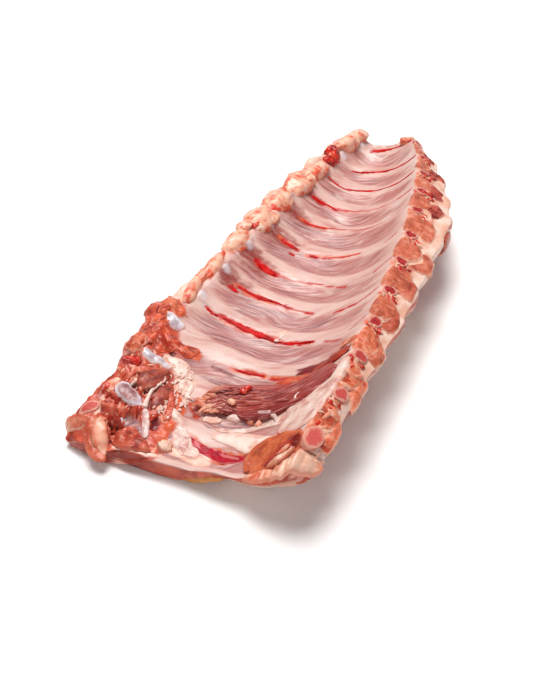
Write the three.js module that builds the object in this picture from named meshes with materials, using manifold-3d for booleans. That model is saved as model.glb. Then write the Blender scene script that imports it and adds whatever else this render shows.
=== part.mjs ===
// A rack of raw pork back ribs, lying on its meat side with the hollow, membrane side up.
// Millimetres. +X runs from the spine edge, with its rib heads, to the sawn edge; +Y runs from the
// loin end, with the last rib and its loose muscle, to the shoulder end; +Z is up, and the rack
// rests on z = 0. One solid is the meat with its fat and membrane. Each of the twelve rib bones is
// a solid of its own, which runs through the meat from its head to its sawn end.
import * as THREE from "three";
import { mergeVertices } from "three/addons/utils/BufferGeometryUtils.js";
import Module from "manifold-3d";

const wasm = await Module();
wasm.setup();

// Ribs, counted from the last one, at the loin end. The gaps between their middle lines shrink
// evenly towards the shoulder end.
const RIB_COUNT = 12;
const LAST_RIB_Y = -192;
const LAST_GAP = 36.2;
const GAP_SHRINK = 0.44;
const RIB_SLANT = -0.1; // mm of y for each mm of x: the ribs run slightly towards the loin end
const SHAFT_WIDTH = 10.5;
const SHAFT_DEPTH = 8;
const SAWN_SIZE = 1.15; // a rib is this much thicker where it is sawn
const HEAD_SIZE = 1.3; // and this much at its head
const HEAD_LENGTH = 0.14; // share of a rib's run over which its head thins to the shaft
const BONE_DEPTH = 6.4; // from the membrane down to a rib's middle line
const BARE_HEADS = 3; // so many ribs at the loin end have heads that stand bare of meat
const BARE_DEPTH = 1.2; // from the surface down to the middle of such a head
const BARE_START = -0.02; // share of the hollow's width at which a bare head starts
const BURIED_START = 0.05; // and a head that the meat covers
const SAWN_PAST = 1.13; // before it is sawn off, a rib runs past the rim to this share
const SAWN_PROUD = 0.5; // a sawn bone stands this far out of the shrunken meat round it
const CLEARANCE = 0.3; // between a bone and the meat

// Length of the meat, between its two cut ends.
const LOIN_END_Y = -224;
const SHOULDER_END_Y = 191;
const END_FADE = 30; // over this length the slant of the ribs fades out at either end

// The hollow between the two edges.
const HOLLOW_SHARPNESS = 2.35; // power of the curve of its walls
const RIDGE_HEIGHT = 1.1; // a rib stands this far out of the membrane
const SAWN_EDGE_DROP = 9; // the sawn face falls this far from its inner to its outer edge

// Lumps of fat and gristle along the spine edge, one at each rib head.
const KNUCKLE_HEIGHT = 2.4;
const KNUCKLE_WIDTH = 2.6;

// The loin end: a thin lifted flap in the middle, with the sawn corner cut back towards its top.
const FLAP_LENGTH = 28;
const FLAP_THICKNESS = 3;
const CORNER_CUT = 15;
const CORNER_FROM = { x: 20, z: 14 };
const CORNER_TO = { x: 55, z: 46 };

// Outlines along the length of the rack, each a list of [y, value].
const HEAD_X = [
  [-220, -64], [-150, -69], [-110, -69], [-50, -62], [20, -54], [90, -46], [150, -35], [189, -25],
];
const HEAD_Z = [[-220, 9], [-186, 25], [-150, 28], [-60, 31], [60, 31], [120, 28], [189, 24]];
const SPINE_EDGE_X = [
  [-224, -94], [-214, -102], [-200, -95], [-180, -88], [-150, -88], [-108, -92], [-85, -80], [-60, -74],
  [20, -73], [90, -62], [130, -53], [165, -42], [189, -31],
];
const SPINE_EDGE_Z = [[-220, 8], [-211, 13], [-175, 28], [-108, 33], [100, 34], [150, 32], [189, 28]];
const BOTTOM_LINE_X = [[-220, -12], [189, -9]];
const BOTTOM_LINE_Z = [[-220, 12.5], [160, 12.5], [189, 18]];
const RIM_X = [
  [-220, 58], [-190, 56], [-155, 62], [-60, 62], [20, 58], [80, 50], [115, 44], [150, 36], [189, 20],
];
const RIM_Z = [[-220, 45], [-190, 50], [-150, 55], [50, 55], [80, 51], [115, 47], [150, 42], [189, 34]];
const SAWN_EDGE_X = [
  [-220, 70], [-155, 77], [-60, 85], [55, 88], [80, 83], [110, 73], [145, 58], [175, 42], [189, 29],
];

// Along x: height of the underside of the loin end's flap, and how uneven the cut is in y.
const FLAP_UNDERSIDE = [[-17, 0], [-4, 12], [8, 16], [40, 18], [60, 26], [72, 35]];
const LOIN_EDGE = [[-100, 5], [-86, 4], [-68, 0], [-56, 5], [-28, 4], [45, 3], [72, 5]];

// Lobes of muscle left on the loin end's spine corner: middle, radius and height over the rest.
const LOBES = [
  { x: -91, y: -207, radius: 12, height: 5 },
  { x: -76, y: -216, radius: 9, height: 5 },
  { x: -50, y: -211, radius: 13, height: 5 },
  { x: -64, y: -204, radius: 7, height: -6 },
];

// Loose skirt muscle in the hollow between the last three ribs: its middle line and its width.
const SKIRT_LINE = [[-26, -166], [-10, -156], [10, -153], [27, -151], [44, -143], [58, -134]];
const SKIRT_WIDTH = 33;
const SKIRT_THICKNESS = 5;
const SKIRT_RIM = 0.8; // its thickness at its rims
const SKIRT_TIP = 0.02; // share of its line left off at either end
const SKIRT_LIFT = 1; // it lies this far over the membrane

const TOP_STEPS = 20;
const FACE_STEPS = 3;
const BELLY_STEPS = 5;
const FOOT_STEPS = 3;
const END_ROWS = 4;
const ROWS_PER_GAP = 4;
const BONE_SIDES = 8;
const BONE_STEPS = 10;
const SKIRT_STEPS = 10;
const SKIRT_ACROSS = 5;

const materials = {
  meat: new THREE.MeshStandardMaterial({ color: 0xdda996, roughness: 0.4, metalness: 0 }),
  bone: new THREE.MeshStandardMaterial({ color: 0xe6c3bb, roughness: 0.45, metalness: 0 }),
  skirt: new THREE.MeshStandardMaterial({ color: 0x8f3f3c, roughness: 0.35, metalness: 0 }),
};

const { lerp, clamp, smoothstep } = THREE.MathUtils;

// Reads a list of [position, value], with a straight run between its points.
function read(outline, position) {
  if (position <= outline[0][0]) return outline[0][1];
  for (let i = 1; i < outline.length; i++) {
    const [start, startValue] = outline[i - 1];
    const [end, endValue] = outline[i];
    if (position <= end) return lerp(startValue, endValue, (position - start) / (end - start));
  }
  return outline.at(-1)[1];
}

const ribY = (rib) => LAST_RIB_Y + LAST_GAP * rib - (GAP_SHRINK * rib * (rib - 1)) / 2;

// The ribs' places, with one more at either end for the ridges to fade towards.
const ribPlaces = Array.from({ length: RIB_COUNT + 2 }, (_, i) => [ribY(i - 1), i - 1]);

// 1 on the middle line of a rib and -1 half-way to the next.
const ribWave = (y) => Math.cos(2 * Math.PI * read(ribPlaces, y));

// How far the slant of the ribs moves a point in y. The straight cut ends don't share it.
function slant(x, y) {
  const loin = smoothstep(y, LOIN_END_Y, LOIN_END_Y + END_FADE);
  const shoulder = 1 - smoothstep(y, SHOULDER_END_Y - END_FADE, SHOULDER_END_Y);
  return RIB_SLANT * x * loin * shoulder;
}

// 1 at the cut end of the loin, fading to 0 at the given length from it.
const nearLoinEnd = (y, length) => 1 - smoothstep(y, LOIN_END_Y, LOIN_END_Y + length);

const flapUnderside = (x, y) => read(FLAP_UNDERSIDE, x) * nearLoinEnd(y, FLAP_LENGTH);

function lobes(x, y) {
  let height = 0;
  for (const lobe of LOBES) {
    const distance = Math.hypot(x - lobe.x, y - lobe.y) / lobe.radius;
    height += lobe.height * Math.exp(-distance * distance);
  }
  return height;
}

// Height of the hollow's surface: its walls rise from the lowest line as a power of the distance.
function hollowZ(x, y) {
  const headX = read(HEAD_X, y);
  const rimX = read(RIM_X, y);
  const lowX = read(BOTTOM_LINE_X, y);
  const lowZ = read(BOTTOM_LINE_Z, y);
  const [wallX, wallZ] = x < lowX ? [headX, read(HEAD_Z, y)] : [rimX, read(RIM_Z, y)];
  const wall = (wallZ - lowZ) * ((x - lowX) / (wallX - lowX)) ** HOLLOW_SHARPNESS;
  const ridge = RIDGE_HEIGHT * ribWave(y) * Math.sin(Math.PI * clamp((x - headX) / (rimX - headX), 0, 1));
  const flap = flapUnderside(x, y);
  return Math.max(lowZ + wall + ridge, flap > 0 ? flap + FLAP_THICKNESS : 0) + lobes(x, y);
}

// A point of the hollow in the plane of y: share runs from 0 at the rib heads to 1 at the rim.
// The points lie closer together towards the steep rim.
function hollow(share, y) {
  const x = lerp(read(HEAD_X, y), read(RIM_X, y), share * (1.22 - 0.22 * share));
  return new THREE.Vector2(x, hollowZ(x, y));
}

// One closed ring round the meat at y: along the hollow, over the sawn face, back underneath and
// up over the fat of the spine edge.
function meatRing(y) {
  const hollowPoints = Array.from({ length: TOP_STEPS + 1 }, (_, i) => hollow(i / TOP_STEPS, y));
  const rim = hollowPoints.at(-1);
  const edge = new THREE.Vector2(read(SAWN_EDGE_X, y), rim.y - SAWN_EDGE_DROP);
  const face = Array.from({ length: FACE_STEPS }, (_, i) => rim.clone().lerp(edge, (i + 1) / FACE_STEPS));

  const side = read(SPINE_EDGE_X, y);
  const footX = lerp(side, edge.x, 0.66);
  const bend = new THREE.Vector2(edge.x - 5, edge.y * 0.38);
  const belly = new THREE.QuadraticBezierCurve(edge, bend, new THREE.Vector2(footX, 0));
  const underneath = belly.getPoints(BELLY_STEPS).slice(1);
  for (let i = 1; i <= FOOT_STEPS; i++) {
    underneath.push(new THREE.Vector2(lerp(footX, side + 7, i / FOOT_STEPS), 0));
  }
  for (const point of underneath) point.y = Math.max(point.y, flapUnderside(point.x, y));

  const head = hollowPoints[0];
  const knuckle = y < ribY(BARE_HEADS - 1) ? 0 : ribWave(y);
  const out = side - KNUCKLE_WIDTH * knuckle;
  const top = read(SPINE_EDGE_Z, y) + KNUCKLE_HEIGHT * knuckle;
  const shoulderX = lerp(out, head.x, 0.14);
  const crownX = lerp(out, head.x, 0.58);
  const spineEdge = [
    new THREE.Vector2(out + 1, top * 0.3),
    new THREE.Vector2(out, top * 0.72),
    new THREE.Vector2(shoulderX, top - 1.5 + lobes(shoulderX, y)),
    new THREE.Vector2(crownX, top + lobes(crownX, y)),
  ];

  const ring = [...hollowPoints, ...face, ...underneath, ...spineEdge];
  return ring.map(({ x, y: z }) => new THREE.Vector3(x, y + slant(x, y) + loinCut(x, y, z), z));
}

// How far the cut at the loin end lies in at a point: it is uneven, and it leans back at the sawn
// corner.
function loinCut(x, y, z) {
  const outward = smoothstep(x, CORNER_FROM.x, CORNER_TO.x);
  const upward = clamp((z - CORNER_FROM.z) / (CORNER_TO.z - CORNER_FROM.z), 0, 1);
  return (CORNER_CUT * outward * upward + read(LOIN_EDGE, x)) * nearLoinEnd(y, END_FADE);
}

// Closes a row of equal rings into one solid. Seen from behind the row they run clockwise, and the
// caps are triangles of one ring's points, each anticlockwise.
function skin(rings, caps) {
  const size = rings[0].length;
  const index = [];
  for (let row = 0; row + 1 < rings.length; row++) {
    for (let i = 0; i < size; i++) {
      const here = row * size + i;
      const next = row * size + ((i + 1) % size);
      index.push(here, next, here + size, next, next + size, here + size);
    }
  }
  const last = (rings.length - 1) * size;
  for (const [a, b, c] of caps) index.push(a, b, c, last + c, last + b, last + a);
  const geometry = new THREE.BufferGeometry();
  const position = rings.flat().flatMap((point) => point.toArray());
  geometry.setAttribute("position", new THREE.Float32BufferAttribute(position, 3));
  geometry.setIndex(index);
  return geometry;
}

function solidOf(geometry) {
  const merged = mergeVertices(geometry);
  const vertProperties = merged.attributes.position.array;
  const triVerts = new Uint32Array(merged.index.array);
  return new wasm.Manifold(new wasm.Mesh({ numProp: 3, vertProperties, triVerts }));
}

function geometryOf(solid) {
  const { vertProperties, triVerts } = solid.getMesh();
  const geometry = new THREE.BufferGeometry();
  geometry.setAttribute("position", new THREE.Float32BufferAttribute(vertProperties, 3));
  geometry.setIndex([...triVerts]);
  geometry.computeVertexNormals();
  return geometry;
}

// A fan of triangles over a convex ring.
const fan = (size) => Array.from({ length: size - 2 }, (_, i) => [0, i + 2, i + 1]);

// The rows of the meat: one on every rib's middle line, and some between that line and the next.
function uncutMeat() {
  const rows = [];
  for (let row = 0; row < END_ROWS; row++) rows.push(lerp(LOIN_END_Y, LAST_RIB_Y, row / END_ROWS));
  for (let rib = 0; rib + 1 < RIB_COUNT; rib++) {
    for (let row = 0; row < ROWS_PER_GAP; row++) {
      rows.push(lerp(ribY(rib), ribY(rib + 1), row / ROWS_PER_GAP));
    }
  }
  const firstRibY = ribY(RIB_COUNT - 1);
  rows.push(firstRibY, lerp(firstRibY, SHOULDER_END_Y, 0.5), SHOULDER_END_Y);
  const rings = rows.map(meatRing);
  const outline = rings[0].map((point) => new THREE.Vector2(point.x, point.z));
  return solidOf(skin(rings, THREE.ShapeUtils.triangulateShape(outline, [])));
}

// A rib as rings round its middle line, a fixed depth under the hollow's surface, from its head to
// past the sawn face. Grown by the clearance, it is the channel that the meat has for it.
function ribSolid(rib, grow) {
  const y = ribY(rib);
  const bare = rib < BARE_HEADS;
  const rings = [];
  for (let step = -1; step <= BONE_STEPS; step++) {
    const tip = step === -1;
    const share = lerp(bare ? BARE_START : BURIED_START, SAWN_PAST, Math.max(step, 0) / BONE_STEPS);
    const head = 1 - smoothstep(share, 0, HEAD_LENGTH);
    const at = hollow(share, y);
    const along = hollow(share + 0.01, y).sub(at).normalize();
    const down = new THREE.Vector3(along.y, 0, -along.x);
    const depth = bare ? lerp(BONE_DEPTH, BARE_DEPTH, head) : BONE_DEPTH;
    const middle = new THREE.Vector3(at.x, y + slant(at.x, y), at.y).addScaledVector(down, depth);
    if (tip) middle.x -= grow + 1;
    const size = lerp(lerp(1, SAWN_SIZE, smoothstep(share, 0.8, 1)), HEAD_SIZE, head) * (tip ? 0.6 : 1);
    const halfWidth = (SHAFT_WIDTH / 2) * size + grow;
    const halfDepth = (SHAFT_DEPTH / 2) * size + grow;
    const ring = [];
    for (let i = 0; i < BONE_SIDES; i++) {
      const angle = (2 * Math.PI * i) / BONE_SIDES;
      const point = middle.clone().addScaledVector(down, -halfDepth * Math.sin(angle));
      point.y += halfWidth * Math.cos(angle);
      ring.push(point);
    }
    rings.push(ring);
  }
  return solidOf(skin(rings, fan(BONE_SIDES)));
}

// A rib cut off along the sawn face, just proud of it.
function sawnRib(rib) {
  const y = ribY(rib);
  const corner = (i, at) => meatRing(at)[i];
  const rim = corner(TOP_STEPS, y);
  const across = corner(TOP_STEPS + FACE_STEPS, y).sub(rim);
  const along = corner(TOP_STEPS, y + 4).sub(corner(TOP_STEPS, y - 4));
  const down = across.cross(along).normalize().negate();
  return ribSolid(rib, 0).trimByPlane(down.toArray(), down.dot(rim) - SAWN_PROUD);
}

// The skirt muscle as a slab that follows the membrane, thin at its rims and its two ends.
function skirtGeometry() {
  const line = new THREE.CatmullRomCurve3(SKIRT_LINE.map(([x, y]) => new THREE.Vector3(x, y, 0)));
  const membrane = (x, y) => new THREE.Vector3(x, y, hollowZ(x, y - slant(x, y)));
  const rings = [];
  for (let step = 0; step <= SKIRT_STEPS; step++) {
    const share = lerp(SKIRT_TIP, 1 - SKIRT_TIP, step / SKIRT_STEPS);
    const middle = line.getPointAt(share);
    const along = line.getTangentAt(share);
    const fullness = Math.sqrt(Math.sin(Math.PI * share));
    const top = [];
    const bottom = [];
    for (let i = SKIRT_ACROSS; i >= 0; i--) {
      const offset = (i / SKIRT_ACROSS - 0.5) * SKIRT_WIDTH * fullness;
      const x = middle.x - along.y * offset;
      const y = middle.y + along.x * offset;
      const foot = membrane(x, y);
      const up = membrane(x + 1, y).sub(foot).cross(membrane(x, y + 1).sub(foot)).normalize();
      const swell = Math.sqrt(Math.sin((Math.PI * i) / SKIRT_ACROSS)) * fullness;
      bottom.push(foot.clone().addScaledVector(up, SKIRT_LIFT));
      top.push(foot.clone().addScaledVector(up, SKIRT_LIFT + lerp(SKIRT_RIM, SKIRT_THICKNESS, swell)));
    }
    rings.push([...top, ...bottom.reverse()]);
  }
  const geometry = skin(rings, fan(rings[0].length));
  geometry.computeVertexNormals();
  return geometry;
}

const rack = new THREE.Group();

function add(name, geometry, material) {
  const mesh = new THREE.Mesh(geometry, material);
  mesh.name = name;
  rack.add(mesh);
}

let meat = uncutMeat();
for (let rib = 0; rib < RIB_COUNT; rib++) meat = meat.subtract(ribSolid(rib, CLEARANCE));
add("meat", geometryOf(meat), materials.meat);

for (let rib = 0; rib < RIB_COUNT; rib++) {
  add(`rib_${String(rib + 1).padStart(2, "0")}`, geometryOf(sawnRib(rib)), materials.bone);
}

add("skirt_muscle", skirtGeometry(), materials.skirt);

// The origin is the middle of the rack's box, on the surface that it lies on.
const box = new THREE.Box3().setFromObject(rack, true);
const centre = box.getCenter(new THREE.Vector3());
rack.position.set(-centre.x, -centre.y, 0);

export default rack;
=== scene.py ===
import itertools
import math

import bpy
import numpy as np
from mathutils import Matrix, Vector


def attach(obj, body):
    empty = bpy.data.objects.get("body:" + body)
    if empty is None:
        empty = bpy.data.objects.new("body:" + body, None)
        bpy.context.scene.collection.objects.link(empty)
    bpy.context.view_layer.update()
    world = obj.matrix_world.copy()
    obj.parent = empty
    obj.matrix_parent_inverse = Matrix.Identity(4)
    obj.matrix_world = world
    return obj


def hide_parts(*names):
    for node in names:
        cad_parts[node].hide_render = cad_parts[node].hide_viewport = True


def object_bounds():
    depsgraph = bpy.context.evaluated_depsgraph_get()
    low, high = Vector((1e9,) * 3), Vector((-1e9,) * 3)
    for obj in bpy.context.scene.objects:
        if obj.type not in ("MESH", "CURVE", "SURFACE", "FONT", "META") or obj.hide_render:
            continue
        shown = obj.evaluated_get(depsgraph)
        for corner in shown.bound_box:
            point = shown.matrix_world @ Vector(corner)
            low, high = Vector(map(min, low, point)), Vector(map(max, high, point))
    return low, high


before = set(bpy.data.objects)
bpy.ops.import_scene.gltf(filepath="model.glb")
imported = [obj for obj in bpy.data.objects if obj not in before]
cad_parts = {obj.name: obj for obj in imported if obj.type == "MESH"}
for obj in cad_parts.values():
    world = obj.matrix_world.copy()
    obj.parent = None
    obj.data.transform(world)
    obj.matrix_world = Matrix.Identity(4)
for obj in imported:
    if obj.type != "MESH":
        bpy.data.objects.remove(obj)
cadLow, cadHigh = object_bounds()

# A rack of raw pork back ribs on its meat side. All shapes are worked out in millimetres in the
# rack's own axes: x from the spine edge to the sawn edge, y from the loin end to the shoulder end,
# z up. toMetres puts them where the solids are.

rack = {
    "ribCount": 12,
    "lastRibY": -192, "lastGap": 36.2, "gapShrink": 0.44,  # the gaps shrink towards the shoulder end
    "ribSlant": -0.1,
    "loinEndY": -224, "shoulderEndY": 191, "endFade": 30,
    "hollowSharpness": 2.35, "ridgeHeight": 1.1, "sawnEdgeDrop": 9,
    "knuckleHeight": 2.4, "knuckleWidth": 2.6,
    "bareHeads": 3,
    "flapLength": 28, "flapThickness": 3,
    "cornerCut": 15, "cornerFrom": (20, 14), "cornerTo": (55, 46),
    "columnSpread": (1.22, 0.22),
    "soften": 5,  # outlines are averaged over this many mm of y
}

# Along y: where each line of the cross-section runs.
outlines = {
    "headX": [(-220, -64), (-150, -69), (-110, -69), (-50, -62), (20, -54), (90, -46), (150, -35),
              (189, -25)],
    "headZ": [(-220, 9), (-186, 25), (-150, 28), (-60, 31), (60, 31), (120, 28), (189, 24)],
    "spineX": [(-224, -94), (-214, -102), (-200, -95), (-180, -88), (-150, -88), (-108, -92), (-85, -80),
               (-60, -74), (20, -73), (90, -62), (130, -53), (165, -42), (189, -31)],
    "spineZ": [(-220, 8), (-211, 13), (-175, 28), (-108, 33), (100, 34), (150, 32), (189, 28)],
    "bottomX": [(-220, -12), (189, -9)],
    "bottomZ": [(-220, 12.5), (160, 12.5), (189, 18)],
    "rimX": [(-220, 58), (-190, 56), (-155, 62), (-60, 62), (20, 58), (80, 50), (115, 44), (150, 36),
             (189, 20)],
    "rimZ": [(-220, 45), (-190, 50), (-150, 55), (50, 55), (80, 51), (115, 47), (150, 42), (189, 34)],
    "sawnX": [(-220, 70), (-155, 77), (-60, 85), (55, 88), (80, 83), (110, 73), (145, 58), (175, 42),
              (189, 29)],
}

# Along x: height of the underside of the loin end's thin flap, and how uneven the cut is in y.
flapUndersideLine = [(-17, 0), (-4, 12), (8, 16), (40, 18), (60, 26), (72, 35)]
loinEdgeLine = [(-100, 5), (-86, 4), (-68, 0), (-56, 5), (-28, 4), (45, 3), (72, 5)]

# Lobes of muscle left on the spine corner of the loin end: x, y, radius, height.
cornerLobes = [(-91, -207, 12, 5), (-76, -216, 9, 5), (-50, -211, 13, 5), (-64, -204, 7, -6)]

metresPerMm = 0.001
offset = np.array([
    cadHigh.x / metresPerMm - max(x for _, x in outlines["sawnX"]),
    cadHigh.y / metresPerMm - rack["shoulderEndY"],
    0,
])


def toMetres(points):
    return (np.asarray(points, float) + offset) * metresPerMm


# Helpers on whole arrays

def smoothStep(low, high, at):
    t = np.clip((at - low) / (high - low), 0, 1)
    return t * t * (3 - 2 * t)


def mix(a, b, share):
    return a + (b - a) * share


def readLine(line, at):
    line = np.array(line, float)
    return np.interp(at, line[:, 0], line[:, 1])


# An outline with its corners rounded: the mean of the line before, at and after the place.
def readOutline(name, y):
    step = rack["soften"]
    return (readLine(outlines[name], y - step) + 2 * readLine(outlines[name], y)
            + readLine(outlines[name], y + step)) / 4


# Large odd numbers that turn a place of a lattice into a random one, and the highest it may be.
scramble = {"start": 977, "first": 668265263, "second": 1274126177, "highest": 65535}


# Value noise, -1 to 1: a random number at each corner of a lattice with cells of this size, blended
# by a quintic curve in each direction. Each seed gives another pattern.
def softNoise(place, size, seed=0):
    at = np.asarray(place, float) / size + 31.7 * seed
    cell = np.floor(at).astype(np.int64)
    t = at - cell
    t = t * t * t * (t * (t * 6 - 15) + 10)
    total = 0
    for corner in itertools.product((0, 1), repeat=at.shape[-1]):
        hashed = np.full(at.shape[:-1], scramble["start"] + seed, np.int64)
        weight = 1
        for axis, step in enumerate(corner):
            hashed = (hashed ^ (cell[..., axis] + step)) * scramble["first"]
            hashed = hashed ^ (hashed >> 15)
            weight = weight * (t[..., axis] if step else 1 - t[..., axis])
        hashed = (hashed * scramble["second"]) >> 8
        total = total + weight * ((hashed & scramble["highest"]) / scramble["highest"])
    return 2 * total - 1


# Noise on noise: each layer has half the size and half the strength of the one before.
def cloudNoise(place, size, seed=0, layers=3):
    size = np.asarray(size, float)
    total = 0
    for layer in range(layers):
        total = total + softNoise(place, size / 2 ** layer, seed + layer) / 2 ** layer
    return total / 1.5


# How sharp crests are, how much finer the second ones, and the depth of both.
crests = {"sharpness": 2.6, "finer": 2.4, "coarseDepth": 0.75, "fineDepth": 0.4}


# Folds: crests where the noise is near zero, -1 to 1, with finer ones on them.
def ridges(place, size, seed):
    size = np.asarray(size, float)
    coarse = 1 - crests["sharpness"] * np.abs(softNoise(place, size, seed))
    fine = 1 - crests["sharpness"] * np.abs(softNoise(place, size / crests["finer"], seed + 1))
    return np.clip(coarse, -1, 1) * crests["coarseDepth"] + crests["fineDepth"] * fine


def unit(vectors):
    return vectors / np.linalg.norm(vectors, axis=-1, keepdims=True)


# Rises as a quarter of a circle from a least value, and is 1 from this reach on.
def roundEnd(share, reach, least):
    return np.sqrt(np.clip(1 - (1 - np.clip(share / reach, 0, 1)) ** 2, least, 1))


# Length run at each point of a line.
def measureRun(line):
    return np.concatenate([[0], np.cumsum(np.linalg.norm(np.diff(line, axis=0), axis=1))])


# Points at these shares of a line's length, and the length run at each.
def pointsAlong(line, share):
    run = measureRun(line)
    at = share * run[-1]
    return np.stack([np.interp(at, run, values) for values in line.T], -1), at


# A smooth curve through stations, each a point or an array of points, as Catmull-Rom weights.
def curveThrough(stations, count, closedEnd=False):
    stations = np.stack([np.asarray(station, float) for station in stations], -2)
    last = stations.shape[-2] - 1
    at = np.linspace(0, last, count, endpoint=closedEnd)
    i = np.minimum(at.astype(int), last - 1)
    t = (at - i)[:, None]
    before, start = stations[..., np.maximum(i - 1, 0), :], stations[..., i, :]
    end, after = stations[..., i + 1, :], stations[..., np.minimum(i + 2, last), :]
    return (2 * start + (end - before) * t + (2 * before - 5 * start + 4 * end - after) * t ** 2
            + (3 * start - before - 3 * end + after) * t ** 3) / 2


# Shape of the rack, as in the solids

def ribY(rib):
    return rack["lastRibY"] + rack["lastGap"] * rib - rack["gapShrink"] * rib * (rib - 1) / 2


ribNumbers = np.arange(-1, rack["ribCount"] + 1)


# A rib's number where its middle line runs, and fractions of it between two ribs.
def ribPhase(y):
    return np.interp(y, ribY(ribNumbers), ribNumbers)


def ribWave(y):
    return np.cos(2 * np.pi * ribPhase(y))


def slant(x, y):
    loin = smoothStep(rack["loinEndY"], rack["loinEndY"] + rack["endFade"], y)
    shoulder = 1 - smoothStep(rack["shoulderEndY"] - rack["endFade"], rack["shoulderEndY"], y)
    return rack["ribSlant"] * x * loin * shoulder


def nearLoinEnd(y, length):
    return 1 - smoothStep(rack["loinEndY"], rack["loinEndY"] + length, y)


def flapUnderside(x, y):
    return readLine(flapUndersideLine, x) * nearLoinEnd(y, rack["flapLength"])


def lobes(x, y):
    return sum(
        height * np.exp(-((x - lobeX) ** 2 + (y - lobeY) ** 2) / radius ** 2)
        for lobeX, lobeY, radius, height in cornerLobes
    )


# Height of the hollow: its walls rise from the lowest line as a power of the distance.
def hollowHeight(x, y):
    headX, rimX, bottomX = readOutline("headX", y), readOutline("rimX", y), readOutline("bottomX", y)
    bottomZ = readOutline("bottomZ", y)
    headSide = x < bottomX
    wallX = np.where(headSide, headX, rimX)
    wallZ = np.where(headSide, readOutline("headZ", y), readOutline("rimZ", y))
    distance = np.clip((x - bottomX) / (wallX - bottomX), 0, 2)
    wall = (wallZ - bottomZ) * distance ** rack["hollowSharpness"]
    along = np.clip((x - headX) / (rimX - headX), 0, 1)
    ridge = rack["ridgeHeight"] * ribWave(y) * np.sin(np.pi * along)
    flap = flapUnderside(x, y)
    thin = np.where(flap > 0, flap + rack["flapThickness"], 0)
    return np.maximum(bottomZ + wall + ridge, thin) + lobes(x, y)


# Places across the hollow, closer together towards the sawn edge.
def hollowX(share, y):
    spread, crowding = rack["columnSpread"]
    return mix(readOutline("headX", y), readOutline("rimX", y), share * (spread - crowding * share))


def loinCut(x, y, z):
    (fromX, fromZ), (toX, toZ) = rack["cornerFrom"], rack["cornerTo"]
    outward = smoothStep(fromX, toX, x)
    upward = np.clip((z - fromZ) / (toZ - fromZ), 0, 1)
    cut = rack["cornerCut"] * outward * upward + readLine(loinEdgeLine, x)
    return cut * nearLoinEnd(y, rack["endFade"])


# Forms of a cross-section that no outline gives: shares of the width from the spine edge, shares of
# the height there, and mm.
section = {
    "shoulder": 0.14, "shoulderDrop": 1.5, "crown": 0.58, "wallHeight": 0.72,
    "bendIn": 5, "bendHeight": 0.38, "foot": 0.66, "sideIn": 7, "sideOut": 1, "sideHeight": 0.3,
}


# Numbers of points round a cross-section. The first three make its top, from the spine edge to the
# sawn edge, and the last three its underside, so that point i lies over point total - i.
columns = {"spine": 26, "hollow": 84, "face": 24, "belly": 46, "foot": 50, "side": 38}
columnTotal = sum(columns.values())
topTotal = columnTotal // 2
zoneOf = np.repeat(np.array(list(columns)), list(columns.values()))


# Shares of the way along a part of the cross-section, one for each of its points.
def sharesOf(part):
    return np.arange(columns[part]) / columns[part]


shareIn = np.concatenate([sharesOf(part) for part in columns])


# Cross-sections at these nominal y: x and z of each point, a row for each section.
def crossSections(y):
    y = np.asarray(y, float)
    column = y[:, None]

    def point(x, z):
        return np.stack(np.broadcast_arrays(x, z), -1)

    sideX = readOutline("spineX", y)
    headX = readOutline("headX", y)
    knuckle = np.where(y < ribY(rack["bareHeads"] - 1), 0, ribWave(y))
    outX = sideX - rack["knuckleWidth"] * knuckle
    top = readOutline("spineZ", y) + rack["knuckleHeight"] * knuckle
    shoulderX = mix(outX, headX, section["shoulder"])
    crownX = mix(outX, headX, section["crown"])
    wall = point(outX, top * section["wallHeight"])
    spine = curveThrough([
        wall,
        point(shoulderX, top - section["shoulderDrop"] + lobes(shoulderX, y)),
        point(crownX, top + lobes(crownX, y)),
        point(headX, hollowHeight(headX, y)),
    ], columns["spine"])

    x = hollowX(sharesOf("hollow"), column)
    hollow = point(x, hollowHeight(x, column))

    rimX = readOutline("rimX", y)
    rim = point(rimX, hollowHeight(rimX, y))
    edge = point(readOutline("sawnX", y), rim[:, 1] - rack["sawnEdgeDrop"])
    face = mix(rim[:, None], edge[:, None], sharesOf("face")[:, None])

    foot = point(mix(sideX, edge[:, 0], section["foot"]), 0)
    bend = point(edge[:, 0] - section["bendIn"], edge[:, 1] * section["bendHeight"])
    share = sharesOf("belly")[:, None]
    belly = mix(
        mix(edge[:, None], bend[:, None], share), mix(bend[:, None], foot[:, None], share), share,
    )

    sideFoot = point(sideX + section["sideIn"], 0)
    floor = mix(foot[:, None], sideFoot[:, None], sharesOf("foot")[:, None])
    bulge = point(outX + section["sideOut"], top * section["sideHeight"])
    side = curveThrough([sideFoot, bulge, wall], columns["side"])

    ring = np.concatenate([spine, hollow, face, belly, floor, side], 1)
    under = ring[:, topTotal:]
    under[..., 1] = np.maximum(under[..., 1], flapUnderside(under[..., 0], column))
    return ring


print("outlines ready")


# Meshes

def linearColour(code):
    channels = [int(code[i:i + 2], 16) / 255 for i in (0, 2, 4)]
    return tuple(c / 12.92 if c <= 0.04045 else ((c + 0.055) / 1.055) ** 2.4 for c in channels) + (1,)


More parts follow.
